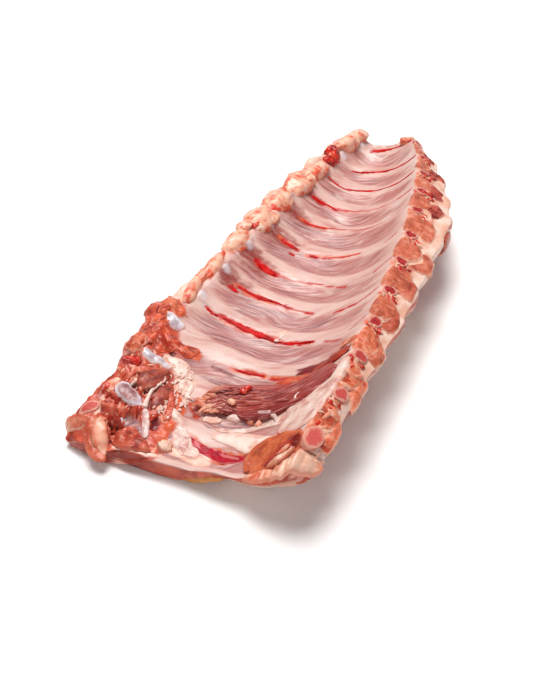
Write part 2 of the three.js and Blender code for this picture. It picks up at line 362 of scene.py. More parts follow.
# Makes a piece of points in mm, with masks as values at its points, and a flat map in mm that its
# material may follow.
def makePiece(name, points, faces, material, masks=None, flow=None, replaced=()):
    mesh = bpy.data.meshes.new(name)
    mesh.from_pydata(toMetres(points).tolist(), [], [list(face) for face in faces])
    mesh.polygons.foreach_set("use_smooth", [True] * len(mesh.polygons))
    for mask, values in (masks or {}).items():
        attribute = mesh.attributes.new(mask, "FLOAT", "POINT")
        attribute.data.foreach_set("value", np.ascontiguousarray(values, np.float32))
    if flow is not None:
        layer = mesh.uv_layers.new(name="flow")
        corners = np.zeros(len(mesh.loops), np.int32)
        mesh.loops.foreach_get("vertex_index", corners)
        layer.data.foreach_set("uv", np.ascontiguousarray(flow[corners], np.float32).ravel())
    mesh.materials.append(material)
    mesh.update()
    piece = bpy.data.objects.new(name, mesh)
    bpy.context.scene.collection.objects.link(piece)
    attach(piece, "root")
    if replaced:
        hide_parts(*replaced)
    return piece


# Four-sided faces between neighbours in a grid of point numbers. Where a side has shrunk to one
# point the face has three.
def gridFaces(numbers):
    quads = np.stack([numbers[:-1, :-1], numbers[:-1, 1:], numbers[1:, 1:], numbers[1:, :-1]], -1)
    quads = quads.reshape(-1, 4)
    return [tuple(dict.fromkeys(quad)) for quad in quads.tolist() if len(set(quad)) > 2]


# A closed skin over a row of equal rings, whose first and last ring have each shrunk to one point.
# The faces are turned to enclose a positive volume. Also gives which grid points are kept.
def closedSkin(rings):
    count, size = rings.shape[:2]
    numbers = np.arange(count * size).reshape(count, size)
    numbers[0], numbers[-1] = numbers[0, 0], numbers[-1, 0]
    kept = np.unique(numbers)
    renumber = np.zeros(count * size, int)
    renumber[kept] = np.arange(len(kept))
    faces = gridFaces(renumber[np.concatenate([numbers, numbers[:, :1]], 1)])
    flat = rings.reshape(-1, 3).copy()
    flat[numbers[0, 0]], flat[numbers[-1, 0]] = rings[0].mean(0), rings[-1].mean(0)
    points = flat[kept]
    corners = np.array([face + face[-1:] * (4 - len(face)) for face in faces])
    a, b, c, d = (points[corners[:, i]] for i in range(4))
    volume = np.sum(a * np.cross(b, c)) + np.sum(a * np.cross(c, d))
    if volume < 0:
        faces = [face[::-1] for face in faces]
    return points, faces, kept


# Unit normals of rows of rings, from the differences between neighbours.
def gridNormals(points):
    across = np.roll(points, -1, 1) - np.roll(points, 1, 1)
    along = np.gradient(points, axis=0)
    normal = np.cross(across, along)
    return normal / np.maximum(np.linalg.norm(normal, axis=-1, keepdims=True), 1e-9)


# Materials

# Adds a node of this kind, with settings by name and its inputs' values or links by name or number,
# and gives its output of this name or number.
def addNode(tree, kind, inputs=(), output=0, **settings):
    node = tree.nodes.new("ShaderNode" + kind)
    for key, value in settings.items():
        setattr(node, key, value)
    for key, value in inputs.items() if isinstance(inputs, dict) else enumerate(inputs):
        socket = node.inputs[key]
        if isinstance(value, bpy.types.NodeSocket):
            tree.links.new(value, socket)
        else:
            socket.default_value = value
    return node.outputs[output] if node.outputs else None


# Settings that many nodes share: a colour laid over another by a share, a smooth ramp of a value,
# and sums of two values.
layer = {"output": 2, "data_type": "RGBA"}
smooth = {"interpolation_type": "SMOOTHSTEP"}
plus, times, larger = ({"operation": name} for name in ("ADD", "MULTIPLY", "MAXIMUM"))


def newMaterial(name):
    material = bpy.data.materials.new(name)
    material.use_nodes = True
    tree = material.node_tree
    tree.nodes.clear()
    return material, tree


# A look with its colours turned linear.
def linearLook(look):
    return {key: linearColour(value) if isinstance(value, str) else value for key, value in look.items()}


# What all wet raw meat has: a little light under the skin, reddest where it goes deepest, and a
# film of water.
wetMeat = {
    "IOR": 1.4, "Subsurface Radius": (1.0, 0.45, 0.3), "Subsurface Scale": 0.0025,
    "Coat Roughness": 0.22, "Coat IOR": 1.33,
}
bumpHeight = 0.001  # metres


# Wet surface of a raw piece, from its colour, its height and its look.
def finishWet(tree, colour, height, look):
    bump = addNode(tree, "Bump", {"Height": height, "Strength": look["bump"], "Distance": bumpHeight})
    shader = addNode(tree, "BsdfPrincipled", {
        "Base Color": colour, "Normal": bump, "Roughness": look["roughness"],
        "Subsurface Weight": look["glow"], "Coat Weight": look["wet"],
        "Specular IOR Level": look.get("shine", 0.5), **wetMeat,
    })
    addNode(tree, "OutputMaterial", {"Surface": shader})


# Pattern of noise on a vector, stretched to sizes in mm.
def addPattern(tree, vector, sizes, detail=3.0, distortion=0.0):
    mapped = addNode(tree, "Mapping", {"Vector": vector, "Scale": tuple(1 / size for size in sizes)})
    return addNode(tree, "TexNoise", {
        "Vector": mapped, "Scale": 1.0, "Detail": detail, "Roughness": 0.55, "Distortion": distortion,
    }, output="Fac")


# Lays a colour over another where a pattern, ramped to a share, shows in a mask.
def layPattern(tree, colour, over, pattern, ramp, mask):
    share = addNode(tree, "MapRange", (pattern, *ramp), **smooth)
    share = addNode(tree, "Math", (mask, share), **times)
    return addNode(tree, "Mix", {0: share, 6: colour, 7: over}, **layer)


# Places in mm of the rack. Those on a piece's flat map are in mm already.
def mmPlaces(tree):
    metres = addNode(tree, "TexCoord", output="Object")
    return addNode(tree, "VectorMath", (metres, (1 / metresPerMm,) * 3), **times)


# The masks of a piece, by name.
def readMasks(tree, names):
    return {name: addNode(tree, "Attribute", output="Fac", attribute_name=name) for name in names}


# Its pale colour serves both the skin's pale strands and a painted highlight over the bones.
membraneLook = {
    "cream": "d7ada2", "pink": "be7d75", "paleAndSheen": "e3cbc4", "strand": "8e4842", "lilac": "84606b",
    "bruise": "8c2f26",
    "flesh": "c8533c", "fleshDeep": "943022", "marbling": "e8a68c",
    "fat": "efd0c0", "fatWarm": "e2aa92",
    "stain": "d85f38", "blood": "b80408", "maroon": "761820", "gristle": "d9d0d4",
    "shade": "5a1a12",
    "roughness": 0.36, "glow": 0.06, "wet": 0.18, "bump": 0.75,
}

maskNames = ["lilac", "flesh", "fat", "stain", "blood", "maroon", "gristle", "shade"]


# Raw pork under its rib membrane: the thin skin is pinkish cream with fine strands along the ribs,
# and where it ends the cut muscle, fat and gristle show, each by its own mask.
def makeMembraneMaterial():
    look = linearLook(membraneLook)
    material, tree = newMaterial("raw pork with rib membrane")
    flat, solid = addNode(tree, "UVMap", uv_map="flow"), mmPlaces(tree)
    masks = readMasks(tree, maskNames + ["gap", "bruise", "ridge"])
    strands = addPattern(tree, flat, (30, 3.6, 1), detail=4, distortion=0.3)
    fineStrands = addPattern(tree, flat, (18, 1.2, 1), detail=2)
    paleStrands = addPattern(tree, flat, (22, 0.9, 1), detail=2, distortion=0.2)
    broad = addPattern(tree, flat, (24, 9, 1))
    mottle = addPattern(tree, solid, (4, 4, 4), detail=4)
    grain = addPattern(tree, solid, (1.3, 1.3, 1.3))
    patches = addPattern(tree, solid, (11, 11, 11))

    # Cream over the bones, and pink in the gaps between them.
    sunk = addNode(tree, "Math", (masks["gap"], 0.26), **times)
    sunk = addNode(tree, "Math", (broad, sunk), **plus)
    share = addNode(tree, "MapRange", (sunk, 0.42, 0.74), **smooth)
    colour = addNode(tree, "Mix", {0: share, 6: look["cream"], 7: look["pink"]}, **layer)

    # Strands of the muscle below, strongest in the gaps, and lilac patches in strands.
    lines = addNode(tree, "MapRange", (strands, 0.5, 0.7, 0, 0.8), **smooth)
    thin = addNode(tree, "MapRange", (fineStrands, 0.52, 0.68, 0, 0.45), **smooth)
    share = addNode(tree, "Math", (lines, thin), **larger)
    shown = addNode(tree, "MapRange", (masks["gap"], 0.0, 0.8, 0.12, 1.0), **smooth)
    share = addNode(tree, "Math", (share, shown), **times)
    colour = addNode(tree, "Mix", {0: share, 6: colour, 7: look["strand"]}, **layer)
    share = addNode(tree, "MapRange", (strands, 0.42, 0.62, 0.3, 1), **smooth)
    share = addNode(tree, "Math", (share, masks["lilac"]), **times)
    colour = addNode(tree, "Mix", {0: share, 6: colour, 7: look["lilac"]}, **layer)

    # Pale strands and patches of the skin, a painted highlight over the bones where the gap mask is low,
    # and bruises.
    pale = addNode(tree, "MapRange", (paleStrands, 0.5, 0.66, 0, 0.6), **smooth)
    for value, low, high, most in ((broad, 0.44, 0.28, 0.7), (masks["gap"], 0.1, 0.0, 0.35)):
        share = addNode(tree, "MapRange", (value, low, high, 0, most), **smooth)
        pale = addNode(tree, "Math", (pale, share), **larger)
    colour = addNode(tree, "Mix", {0: pale, 6: colour, 7: look["paleAndSheen"]}, **layer)
    colour = layPattern(tree, colour, look["bruise"], grain, (0.34, 0.62, 0.75, 1), masks["bruise"])

    # Cut muscle with its marbling, and fat. Both follow the ridge mask as well: darker in the creases as
    # painted shade, paler on the crests as a painted highlight.
    toneAndRidgeShading = addNode(tree, "Math", (masks["ridge"], 0.24), **times)
    toneAndRidgeShading = addNode(tree, "Math", (patches, toneAndRidgeShading), **plus)
    share = addNode(tree, "MapRange", (toneAndRidgeShading, 0.3, 0.6), **smooth)
    flesh = addNode(tree, "Mix", {0: share, 6: look["fleshDeep"], 7: look["flesh"]}, **layer)
    pale = addNode(tree, "MapRange", (toneAndRidgeShading, 0.64, 0.82, 0, 0.8), **smooth)
    flecks = addNode(tree, "MapRange", (mottle, 0.6, 0.74, 0, 0.5), **smooth)
    share = addNode(tree, "Math", (pale, flecks), **larger)
    flesh = addNode(tree, "Mix", {0: share, 6: flesh, 7: look["marbling"]}, **layer)
    colour = addNode(tree, "Mix", {0: masks["flesh"], 6: colour, 7: flesh}, **layer)
    share = addNode(tree, "MapRange", (toneAndRidgeShading, 0.35, 0.7), **smooth)
    fat = addNode(tree, "Mix", {0: share, 6: look["fatWarm"], 7: look["fat"]}, **layer)
    colour = addNode(tree, "Mix", {0: masks["fat"], 6: colour, 7: fat}, **layer)

    # Stains, gristle, shade and blood on top.
    colour = layPattern(tree, colour, look["stain"], mottle, (0.3, 0.62, 0.35, 1), masks["stain"])
    for name in ("gristle", "shade", "maroon"):
        colour = addNode(tree, "Mix", {0: masks[name], 6: colour, 7: look[name]}, **layer)
    colour = layPattern(tree, colour, look["blood"], mottle, (0.25, 0.5, 0.75, 1), masks["blood"])
    fibres, grains = (addNode(tree, "Math", (value, 0.35), **times) for value in (strands, grain))
    finishWet(tree, colour, addNode(tree, "Math", (fibres, grains), **plus), look)
    return material


boneLook = {
    "ring": "dc9a88", "marrow": "b81c22", "deep": "720a14", "pink": "d8625a", "gristle": "dcd6e2",
    "sinew": "b09aa6", "roughness": 0.34, "glow": 0.14, "wet": 0.15, "shine": 0.3, "bump": 0.6,
}


# Rib bone: red spongy marrow inside a thin pale ring where it is sawn, pinker in young bone, and
# bluish white cartilage, smooth and wet, over its head.
def makeBoneMaterial():
    look = linearLook(boneLook)
    material, tree = newMaterial("raw rib bone with cartilage")
    solid = mmPlaces(tree)
    masks = readMasks(tree, ["marrow", "head", "young"])
    pores = addPattern(tree, solid, (1.2, 1.2, 1.2))
    cloud = addPattern(tree, solid, (6, 6, 6))
    colour = addNode(tree, "Mix", {0: masks["head"], 6: look["ring"], 7: look["gristle"]}, **layer)
    colour = layPattern(tree, colour, look["sinew"], cloud, (0.48, 0.72, 0, 0.45), masks["head"])
    share = addNode(tree, "MapRange", (pores, 0.4, 0.62), **smooth)
    sponge = addNode(tree, "Mix", {0: share, 6: look["marrow"], 7: look["deep"]}, **layer)
    walls = addNode(tree, "MapRange", (pores, 0.3, 0.42, 0.4, 0), **smooth)
    for share in (walls, masks["young"]):
        sponge = addNode(tree, "Mix", {0: share, 6: sponge, 7: look["pink"]}, **layer)
    colour = addNode(tree, "Mix", {0: masks["marrow"], 6: colour, 7: sponge}, **layer)
    finishWet(tree, colour, addNode(tree, "Math", (pores, masks["marrow"]), **times), look)
    return material


skirtLook = {
    "flesh": "a83832", "pale": "e09a90", "deep": "7a2022", "fat": "dc8a68",
    "roughness": 0.26, "glow": 0.14, "wet": 0.6, "bump": 1.0,
}


# Skirt muscle: dark maroon meat in long coarse fibres, with paler sinew between them, whose pale is partly
# painted glints.
def makeSkirtMaterial():
    look = linearLook(skirtLook)
    material, tree = newMaterial("raw skirt muscle")
    flat = addNode(tree, "UVMap", uv_map="flow")
    pale = readMasks(tree, ["pale"])["pale"]
    fibres = addPattern(tree, flat, (12, 0.9, 1), detail=4, distortion=0.3)
    bands = addPattern(tree, flat, (40, 6, 1))
    share = addNode(tree, "MapRange", (bands, 0.3, 0.7), **smooth)
    colour = addNode(tree, "Mix", {0: share, 6: look["flesh"], 7: look["deep"]}, **layer)
    # Pale on the fibres: sinew, with painted glints.
    share = addNode(tree, "MapRange", (fibres, 0.48, 0.72, 0, 0.85), **smooth)
    colour = addNode(tree, "Mix", {0: share, 6: colour, 7: look["pale"]}, **layer)
    colour = addNode(tree, "Mix", {0: pale, 6: colour, 7: look["fat"]}, **layer)
    finishWet(tree, colour, fibres, look)
    return material


membraneMaterial = makeMembraneMaterial()
boneMaterial = makeBoneMaterial()
skirtMaterial = makeSkirtMaterial()
print("materials ready")


# Marks on the rack

# The caudal edge of each rib, from the last rib on, as a shift in y from its middle line. The blood
# runs along it, and the smooth pale band over the bone lies on its other side.
streakShift = [-5, -6, -6, -6, -6, -6, -3, 2, -1, -1, -1, 1.5]

# Streaks along the ribs: kind, width in mm, and points in x and y.
streaks = [
    ("blood", 3.0, [(-12, 181), (-3, 183), (6, 185), (14, 186), (22, 184)]),
    ("blood", 1.6, [(-20, 146), (-3, 150), (17, 151), (33, 149)]),
    ("bruise", 5.0, [(-40, 121), (-34, 119)]),
    ("blood", 1.6, [(-33, 119), (-18, 116), (0, 117), (21, 118), (39, 119)]),
    ("bruise", 7.0, [(-49, 88), (-42, 87)]),
    ("bruise", 4.0, [(-43, 87), (-36, 85), (-28, 85)]),
    ("blood", 2.0, [(-36, 86), (-25, 85), (-14, 83)]),
    ("blood", 1.2, [(-16, 83), (10, 84), (38, 85), (46, 84)]),
    ("bruise", 10.5, [(-52, 55), (-44, 54)]),
    ("bruise", 6.0, [(-45, 54), (-38, 53), (-31, 52)]),
    ("stain", 2.4, [(-36, 53), (-25, 52), (-14, 53)]),
    ("blood", 1.5, [(-32, 52), (-24, 52), (-14, 53)]),
    ("blood", 1.05, [(-14, 53), (2, 56), (35, 55), (45, 58)]),
    ("bruise", 11.0, [(-56, 22), (-46, 21)]),
    ("bruise", 7.5, [(-47, 22), (-40, 20), (-31, 19)]),
    ("stain", 3.0, [(-40, 20), (-31, 18), (-26, 16)]),
    ("blood", 2.2, [(-37, 19), (-31, 18), (-24, 16)]),
    ("blood", 1.4, [(-30, 10), (-25, 10)]),
    ("stain", 2.0, [(-16, 14), (26, 17)]),
    ("blood", 1.5, [(-14, 14), (-7, 14)]),
    ("blood", 1.2, [(-3, 14), (4, 15), (26, 17)]),
    ("blood", 1.0, [(45, 17), (52, 20)]),
    ("bruise", 12.0, [(-62, -14), (-53, -15)]),
    ("bruise", 8.5, [(-54, -15), (-46, -17), (-37, -19)]),
    ("stain", 3.6, [(-44, -18), (-36, -19), (-28, -20)]),
    ("blood", 3.4, [(-45, -17), (-37, -19), (-28, -20)]),
    ("blood", 1.2, [(-30, -19), (-15, -21), (4, -20), (28, -26)]),
    ("blood", 1.05, [(49, -24), (58, -19)]),
    ("bruise", 10.0, [(-64, -46), (-54, -48)]),
    ("bruise", 6.0, [(-55, -48), (-50, -49), (-40, -50)]),
    ("stain", 3.0, [(-48, -50), (-34, -52), (-19, -52)]),
    ("blood", 1.7, [(-47, -50), (-34, -51), (-19, -51), (-6, -53)]),
    ("blood", 1.2, [(-8, -53), (14, -57)]),
    ("blood", 2.6, [(-50, -55), (-46, -56)]),
    ("blood", 1.05, [(31, -59), (48, -58), (59, -54)]),
    ("blood", 2.6, [(-57, -85), (-53, -86)]),
    ("blood", 1.4, [(-51, -86), (-48, -86)]),
    ("stain", 3.6, [(-44, -86), (-24, -87), (0, -90)]),
    ("blood", 3.0, [(-45, -85), (-24, -87), (3, -91.5)]),
    ("blood", 2.4, [(4, -92), (26, -91)]),
    ("blood", 1.2, [(35, -94), (47, -99)]),
    ("blood", 1.05, [(52, -94), (60, -87)]),
    ("stain", 2.6, [(-20, -127), (2, -127), (26, -130)]),
    ("blood", 1.4, [(-17, -127), (-7, -127), (4, -127)]),
    ("blood", 1.3, [(8, -129), (26, -130)]),
    ("maroon", 5.0, [(30, -127), (45, -124), (57, -120)]),
    ("maroon", 1.4, [(-33, -130), (-18, -132)]),
    ("stain", 5.4, [(-24, -195), (-14, -199), (-3, -201), (6, -202), (14, -203), (25, -203)]),
    ("maroon", 3.0, [(6, -203), (14, -204), (33, -203)]),
    ("blood", 1.6, [(36, -182), (39, -190)]),
]

# Where the membrane ends and cut muscle starts, along y, on the spine corner of the loin end.
meatLineX = [(-226, -30), (-205, -33), (-190, -38), (-176, -43), (-160, -50), (-140, -53), (-125, -58),
             (-112, -67), (-100, -74), (-90, -90)]

# Forms in the skin of the rack, each along a line: kind, half-width, height in mm, and points in
# x and y. A later one covers those before it.
marks = [
    ("flesh", 7, 2.0, [(-86, -146), (-82, -138), (-76, -142)]),
    ("stain", 4, 0.6, [(-86, -146), (-82, -139)]),
    ("stain", 5, 1.2, [(-77, -118), (-76, -110), (-70, -102)]),
    ("shade", 2.2, -1.8, [(-71, -124), (-63, -133), (-58, -138)]),
    ("stain", 4.0, 1.0, [(-63, -128), (-55, -130), (-46, -128)]),
    ("maroon", 3.5, -1.5, [(-82, -156), (-74, -158)]),
    ("blood", 2.0, 0.8, [(-84, -160), (-79, -163), (-76, -159)]),
    ("fat", 0.9, 0.5, [(-69, -177), (-68, -171), (-64, -169)]),
    ("flesh", 5, 2.4, [(-62, -172), (-57, -163), (-54, -156)]),
    ("shade", 1.6, -3.0, [(-60, -180), (-59, -173)]),
    ("shade", 1.8, -2.0, [(-67, -178), (-65, -173)]),
    ("flesh", 3.6, 1.6, [(-51, -168), (-48, -181), (-44, -191)]),
    ("maroon", 2.4, -1.5, [(-44, -192), (-43, -198)]),
    ("blood", 2.4, 1.0, [(-84, -182), (-81, -184)]),
    ("stain", 4.5, 1.6, [(-79, -194), (-73, -195)]),
    ("fat", 1.0, 0.6, [(-84, -188), (-81, -197), (-82, -204), (-86, -208)]),
    ("flesh", 5, 0.8, [(-77, -204), (-72, -206)]),
    ("stain", 4.0, 1.0, [(-99, -209), (-92, -209), (-85, -209)]),
    ("fat", 1.2, 0.6, [(-100, -208), (-92, -206), (-86, -206)]),
    ("shade", 2.4, -7.0, [(-69, -204), (-62, -202)]),
    ("shade", 2.2, -4.0, [(-67, -206), (-63, -214)]),
    ("gristle", 1.8, 1.0, [(-66, -197), (-62, -200), (-59, -201)]),
    ("flesh", 4.0, 0.3, [(-63, -191), (-57, -190)]),
    ("lilac", 4.0, -0.8, [(-60, -197), (-53, -202), (-47, -208)]),
    ("stain", 4.0, 1.0, [(-47, -162), (-36, -175), (-34, -192)]),
    ("fat", 2.6, 0.8, [(-43, -179), (-37, -183), (-31, -186)]),
    ("stain", 3.4, 1.2, [(-34, -193), (-36, -202)]),
    ("fat", 5.5, 0.9, [(-57, -143), (-50, -143), (-44, -151)]),
    ("fat", 4.0, 0.7, [(-42, -160), (-38, -154), (-36, -164)]),
    ("flesh", 2.8, -1.2, [(-30, -168), (-25, -172), (-24, -176)]),
    ("fat", 6.0, 0.5, [(-26, -204), (-17, -205), (-5, -209)]),
    ("fat", 1.0, 0.5, [(-60, -218), (-50, -218), (-38, -218), (-30, -214)]),
    ("lilac", 3.2, -0.8, [(-12, -180), (6, -174), (24, -170)]),
    ("fat", 1.6, 0.4, [(0, -83), (1, -80)]),
]


# Distance of places from a line of points.
def distanceToLine(x, y, line):
    nearest = np.full(np.shape(x), 1e9)
    for (fromX, fromY), (toX, toY) in zip(line, line[1:]):
        alongX, alongY = toX - fromX, toY - fromY
        ahead = (x - fromX) * alongX + (y - fromY) * alongY
        share = np.clip(ahead / (alongX ** 2 + alongY ** 2), 0, 1)
        nearest = np.minimum(nearest, np.hypot(x - fromX - share * alongX, y - fromY - share * alongY))
    return nearest


# The body of the rack: meat, fat and membrane in one skin

# Its rows, and the sizes, depths and heights of its forms in mm.
body = {
    "rows": 345, "evenRows": 0.68, "crowdedRows": 0.32,  # rows lie closer at the loin end
    "roundings": 4, "endRows": 8, "endBulge": 0.8,
    "strandDepth": 0.3, "strandSlant": 0.22, "strandBend": 6, "ribRise": 1.0,
    "firstBand": 34, "lastBand": 31,
    "headShift": 3, "headLength": 3.4, "headWidth": 3.8, "headRise": 1.3,
    "shadowShift": (9, 1.5), "shadowLength": 12, "shadowWidth": 4, "shadowDepth": 0.7,
    "knucklesFrom": (-112, -95), "knuckleDrop": 1.2, "knuckleWave": 0.9,
    "lumpDepth": 1.1, "smallLumpDepth": 0.45,
    "foldBend": 4, "foldDepth": 0.9, "raggedDepth": 0.8, "fineDepth": 0.5,
    "edgeSwell": 1.6, "faceDepth": 0.35, "bellyDepth": 1.2, "bellyLumpDepth": 0.5,
    "streakDepth": 0.35,
}


# Noise in the skin: the size of its cells in mm, along each axis where they differ, and its seed.
skinNoise = {
    "ragged": (7, 3), "fine": (2.6, 5), "small": (4.5, 19), "lumps": (13, 17),
    "bends": ((30, 22, 50), 7), "strands": ((30, 2.8, 50), 9), "fineStrands": ((18, 1.7, 50), 11),
    "lilacClouds": ((30, 8, 50), 13), "gapClouds": ((30, 14, 50), 15), "stainClouds": (10, 23),
    "foldsAcross": (15, 27), "foldsAlong": (15, 28), "folds": ((6, 15, 8), 29),
    "fatPatches": ((22, 40, 22), 31), "bellyWaves": (16, 37),
    "endWaves": (9, 41), "endFat": ((14, 14, 5), 43),
}


# The skin while it takes its forms: a grid of places with their zones, noise, masks and relief.
class Skin:
    pass


# Rows run along y, and lie closer together at the loin end. Each is a cross-section, rounded a
# little.
def layOutSkin():
    skin = Skin()
    share = np.linspace(0, 1, body["rows"])
    length = rack["shoulderEndY"] - rack["loinEndY"]
    nominal = rack["loinEndY"] + length * (body["evenRows"] * share + body["crowdedRows"] * share ** 2)
    ring = crossSections(nominal)
    for _ in range(body["roundings"]):
        ring = (np.roll(ring, 1, 1) + 2 * ring + np.roll(ring, -1, 1)) / 4
    v = np.broadcast_to(nominal[:, None], ring.shape[:2])
    x, z = ring[..., 0], ring[..., 1]
    y = v + slant(x, v) + loinCut(x, v, z)
    skin.x, skin.y, skin.v = x, y, v
    skin.points = np.stack([x, y, z], -1)
    skin.zone, skin.across = zoneOf[None, :], shareIn[None, :]
    skin.onHollow = (skin.zone == "hollow") * smoothStep(0, 0.14, skin.across)
    skin.onSpine = (skin.zone == "spine") | ((skin.zone == "side") & (skin.across > 0.35))
    skin.onTop = (skin.zone == "hollow") | (skin.zone == "spine")
    skin.under = (skin.zone == "belly") | (skin.zone == "foot") | (skin.zone == "side")
    skin.masks = {name: np.zeros_like(x) for name in maskNames + ["bruise", "gap"]}
    skin.ragged = cloudNoise(skin.points, *skinNoise["ragged"])
    skin.fine = cloudNoise(skin.points, *skinNoise["fine"])
    skin.small = cloudNoise(skin.points, *skinNoise["small"])
    skin.relief = np.zeros_like(x)
    return skin


# Raises a mask to these values where they are higher.
def cover(skin, name, values):
    skin.masks[name] = np.maximum(skin.masks[name], values)


# Leaves this share of some masks.
def fade(skin, names, share):
    for name in names:
        skin.masks[name] = skin.masks[name] * share


# Middle of each rib's caudal edge.
def caudalEdges():
    return ribY(np.arange(rack["ribCount"])) + np.array(streakShift)


# Membrane: fine strands along the ribs, a low rise over each bone, and pinker bands between them.
# In a band, g runs from 0 at a rib's caudal edge to 1 at the next one's.
def markMembrane(skin):
    x, v, onHollow = skin.x, skin.v, skin.onHollow
    lines = caudalEdges()
    ends = np.concatenate([[lines[0] - body["firstBand"]], lines, [lines[-1] + body["lastBand"]]])
    phase = np.interp(v, ends, np.arange(len(ends)))
    g = phase - np.floor(phase)
    shoulder = smoothStep(20, 130, v)
    gap = smoothStep(0.34, 0.48, g - 0.08 * shoulder) * (1 - smoothStep(0.82, 1.0, g + 0.12 * shoulder))
    flat = np.stack([x, v - body["strandSlant"] * x, 0 * x], -1)
    bend = body["strandBend"] * softNoise(flat, *skinNoise["bends"])
    place = flat + np.stack([0 * x, bend, 0 * x], -1)
    broad, fine = softNoise(place, *skinNoise["strands"]), softNoise(place, *skinNoise["fineStrands"])
    skin.strand = broad + 0.6 * fine
    skin.flow = place[..., :2]
    skin.relief += onHollow * body["strandDepth"] * skin.strand * (0.3 + 0.7 * gap)
    skin.relief += body["ribRise"] * ribWave(v) * (np.sin(np.pi * skin.across) * onHollow)
    deepSide = 1 - smoothStep(-5, 45, x)
    cloudy = 0.55 + 0.45 * cloudNoise(place, *skinNoise["lilacClouds"])
    cover(skin, "lilac", onHollow * gap * np.clip(cloudy, 0, 1) * (0.35 + 0.65 * deepSide))
    cloudyGap = np.clip(gap + 0.35 * cloudNoise(place, *skinNoise["gapClouds"]), 0, 1)
    towardsRim = smoothStep(0.5, 0.9, skin.across)
    cover(skin, "gap", onHollow * cloudyGap * (1 - 0.4 * towardsRim))
    nearRim = onHollow * smoothStep(0.86, 0.97, skin.across + 0.02 * skin.ragged)
    fade(skin, ("gap", "lilac"), 1 - nearRim)


# Rib heads with their bluish gristle, and the brownish shadow beside each.
def markRibHeads(skin):
    lines = caudalEdges()
    shadowX, shadowV = body["shadowShift"]
    for number in range(rack["bareHeads"], rack["ribCount"]):
        headAt = readOutline("headX", ribY(number)) + body["headShift"]
        dx, dv = skin.x - headAt, skin.v - ribY(number)
        away = np.hypot(dx / body["headLength"], (dv + 0.25 * dx) / body["headWidth"])
        cover(skin, "gristle", (1 - smoothStep(0.55, 1.15, away + 0.15 * skin.fine)) * 0.75)
        skin.relief += body["headRise"] * np.exp(-away ** 2)
        shadow = np.hypot(
            (dx - shadowX) / body["shadowLength"],
            (skin.v - lines[number] - shadowV + 0.2 * dx) / body["shadowWidth"],
        )
        cover(skin, "lilac", (1 - smoothStep(0.5, 1.2, shadow + 0.3 * skin.ragged)) * 0.4)
        skin.relief -= body["shadowDepth"] * np.exp(-shadow ** 2)


# Lumps of fat and gristle along the spine edge, each with a crease of blood to the next.
def markSpineEdge(skin):
    v, across, ragged, zone = skin.v, skin.across, skin.ragged, skin.zone
    lump = cloudNoise(skin.points, *skinNoise["lumps"])
    edgeWay = np.maximum(skin.onSpine, (zone == "hollow") * (1 - smoothStep(0, 0.05, across)))
    skin.relief += edgeWay * (body["lumpDepth"] * lump + body["smallLumpDepth"] * skin.small)
    knuckles = skin.onSpine * smoothStep(*body["knucklesFrom"], v)
    skin.relief -= knuckles * (body["knuckleDrop"] + body["knuckleWave"] * ribWave(v))
    crown = (zone == "spine") * smoothStep(0.72, 1.0, across + 0.12 * ragged)
    cover(skin, "fat", knuckles * (1 - crown))
    clouds = smoothStep(-0.1, 0.75, cloudNoise(skin.points, *skinNoise["stainClouds"]))
    cover(skin, "stain", knuckles * (clouds * (1 - 0.6 * crown)) * 0.75)
    crease = 1 - np.abs(2 * (ribPhase(v) % 1) - 1)
    cover(skin, "blood", knuckles * smoothStep(0.86, 1.0, crease + 0.05 * ragged) * 0.7)
    fade(skin, ["lilac"], 1 - 0.35 * smoothStep(10, 90, v) * (zone == "hollow"))


# Cut muscle in folds on the spine corner of the loin end.
def markCutMuscle(skin):
    ragged, points = skin.ragged, skin.points
    lineX = readLine(meatLineX, skin.y)
    cut = smoothStep(2.5, -2.5, skin.x - lineX + 5 * ragged) * skin.onTop
    meat = np.maximum(cut, skin.onSpine * (1 - smoothStep(*body["knucklesFrom"], skin.v)))
    cover(skin, "flesh", meat)
    fade(skin, ("lilac", "gristle"), 1 - meat)
    across, along = (softNoise(points, *skinNoise[name]) for name in ("foldsAcross", "foldsAlong"))
    bent = points + body["foldBend"] * np.stack([across, along, 0 * skin.x], -1)
    ridge = ridges(bent, *skinNoise["folds"])
    folds = body["foldDepth"] * ridge + body["raggedDepth"] * ragged + body["fineDepth"] * skin.fine
    skin.relief += meat * folds
    # The folds' crests, which the materials paint paler and their creases darker: painted light and shade.
    skin.masks["ridge"] = np.where(meat > 0.2, ridge, 0.6 * ragged)


# Sawn face: fat and membrane between the muscles, with blood and shreds beside each bone. The
# outer edge swells at each muscle.
def markSawnFace(skin):
    across, ragged = skin.across, skin.ragged
    onFace = skin.zone == "face"
    p = ribPhase(skin.v) % 1
    cover(skin, "fat", onFace * smoothStep(0.04, 0.24, across + 0.06 * ragged))
    # The lower outer wall towards the loin end: mauve grey membrane, darkened further as painted shade.
    wall = onFace * smoothStep(0.5, 0.85, across + 0.1 * ragged) * smoothStep(-135, -185, skin.v)
    cover(skin, "lilac", 0.9 * wall)
    fade(skin, ["fat"], 1 - 0.8 * wall)
    beside = (1 - smoothStep(0.05, 0.16, np.abs(p - 0.88))) * onFace
    beside = beside * (1 - smoothStep(0.5, 0.7, across))
    cover(skin, "stain", beside * smoothStep(-0.5, 0.3, skin.fine))
    cover(skin, "blood", beside * smoothStep(0.1, 0.5, skin.small))
    onBelly = skin.zone == "belly"
    outward = onFace * smoothStep(0.5, 1, across) + onBelly * (1 - smoothStep(0, 0.6, across))
    swell = body["edgeSwell"] * outward * np.cos(2 * np.pi * (p - 0.25))
    skin.relief += swell + onFace * body["faceDepth"] * skin.small


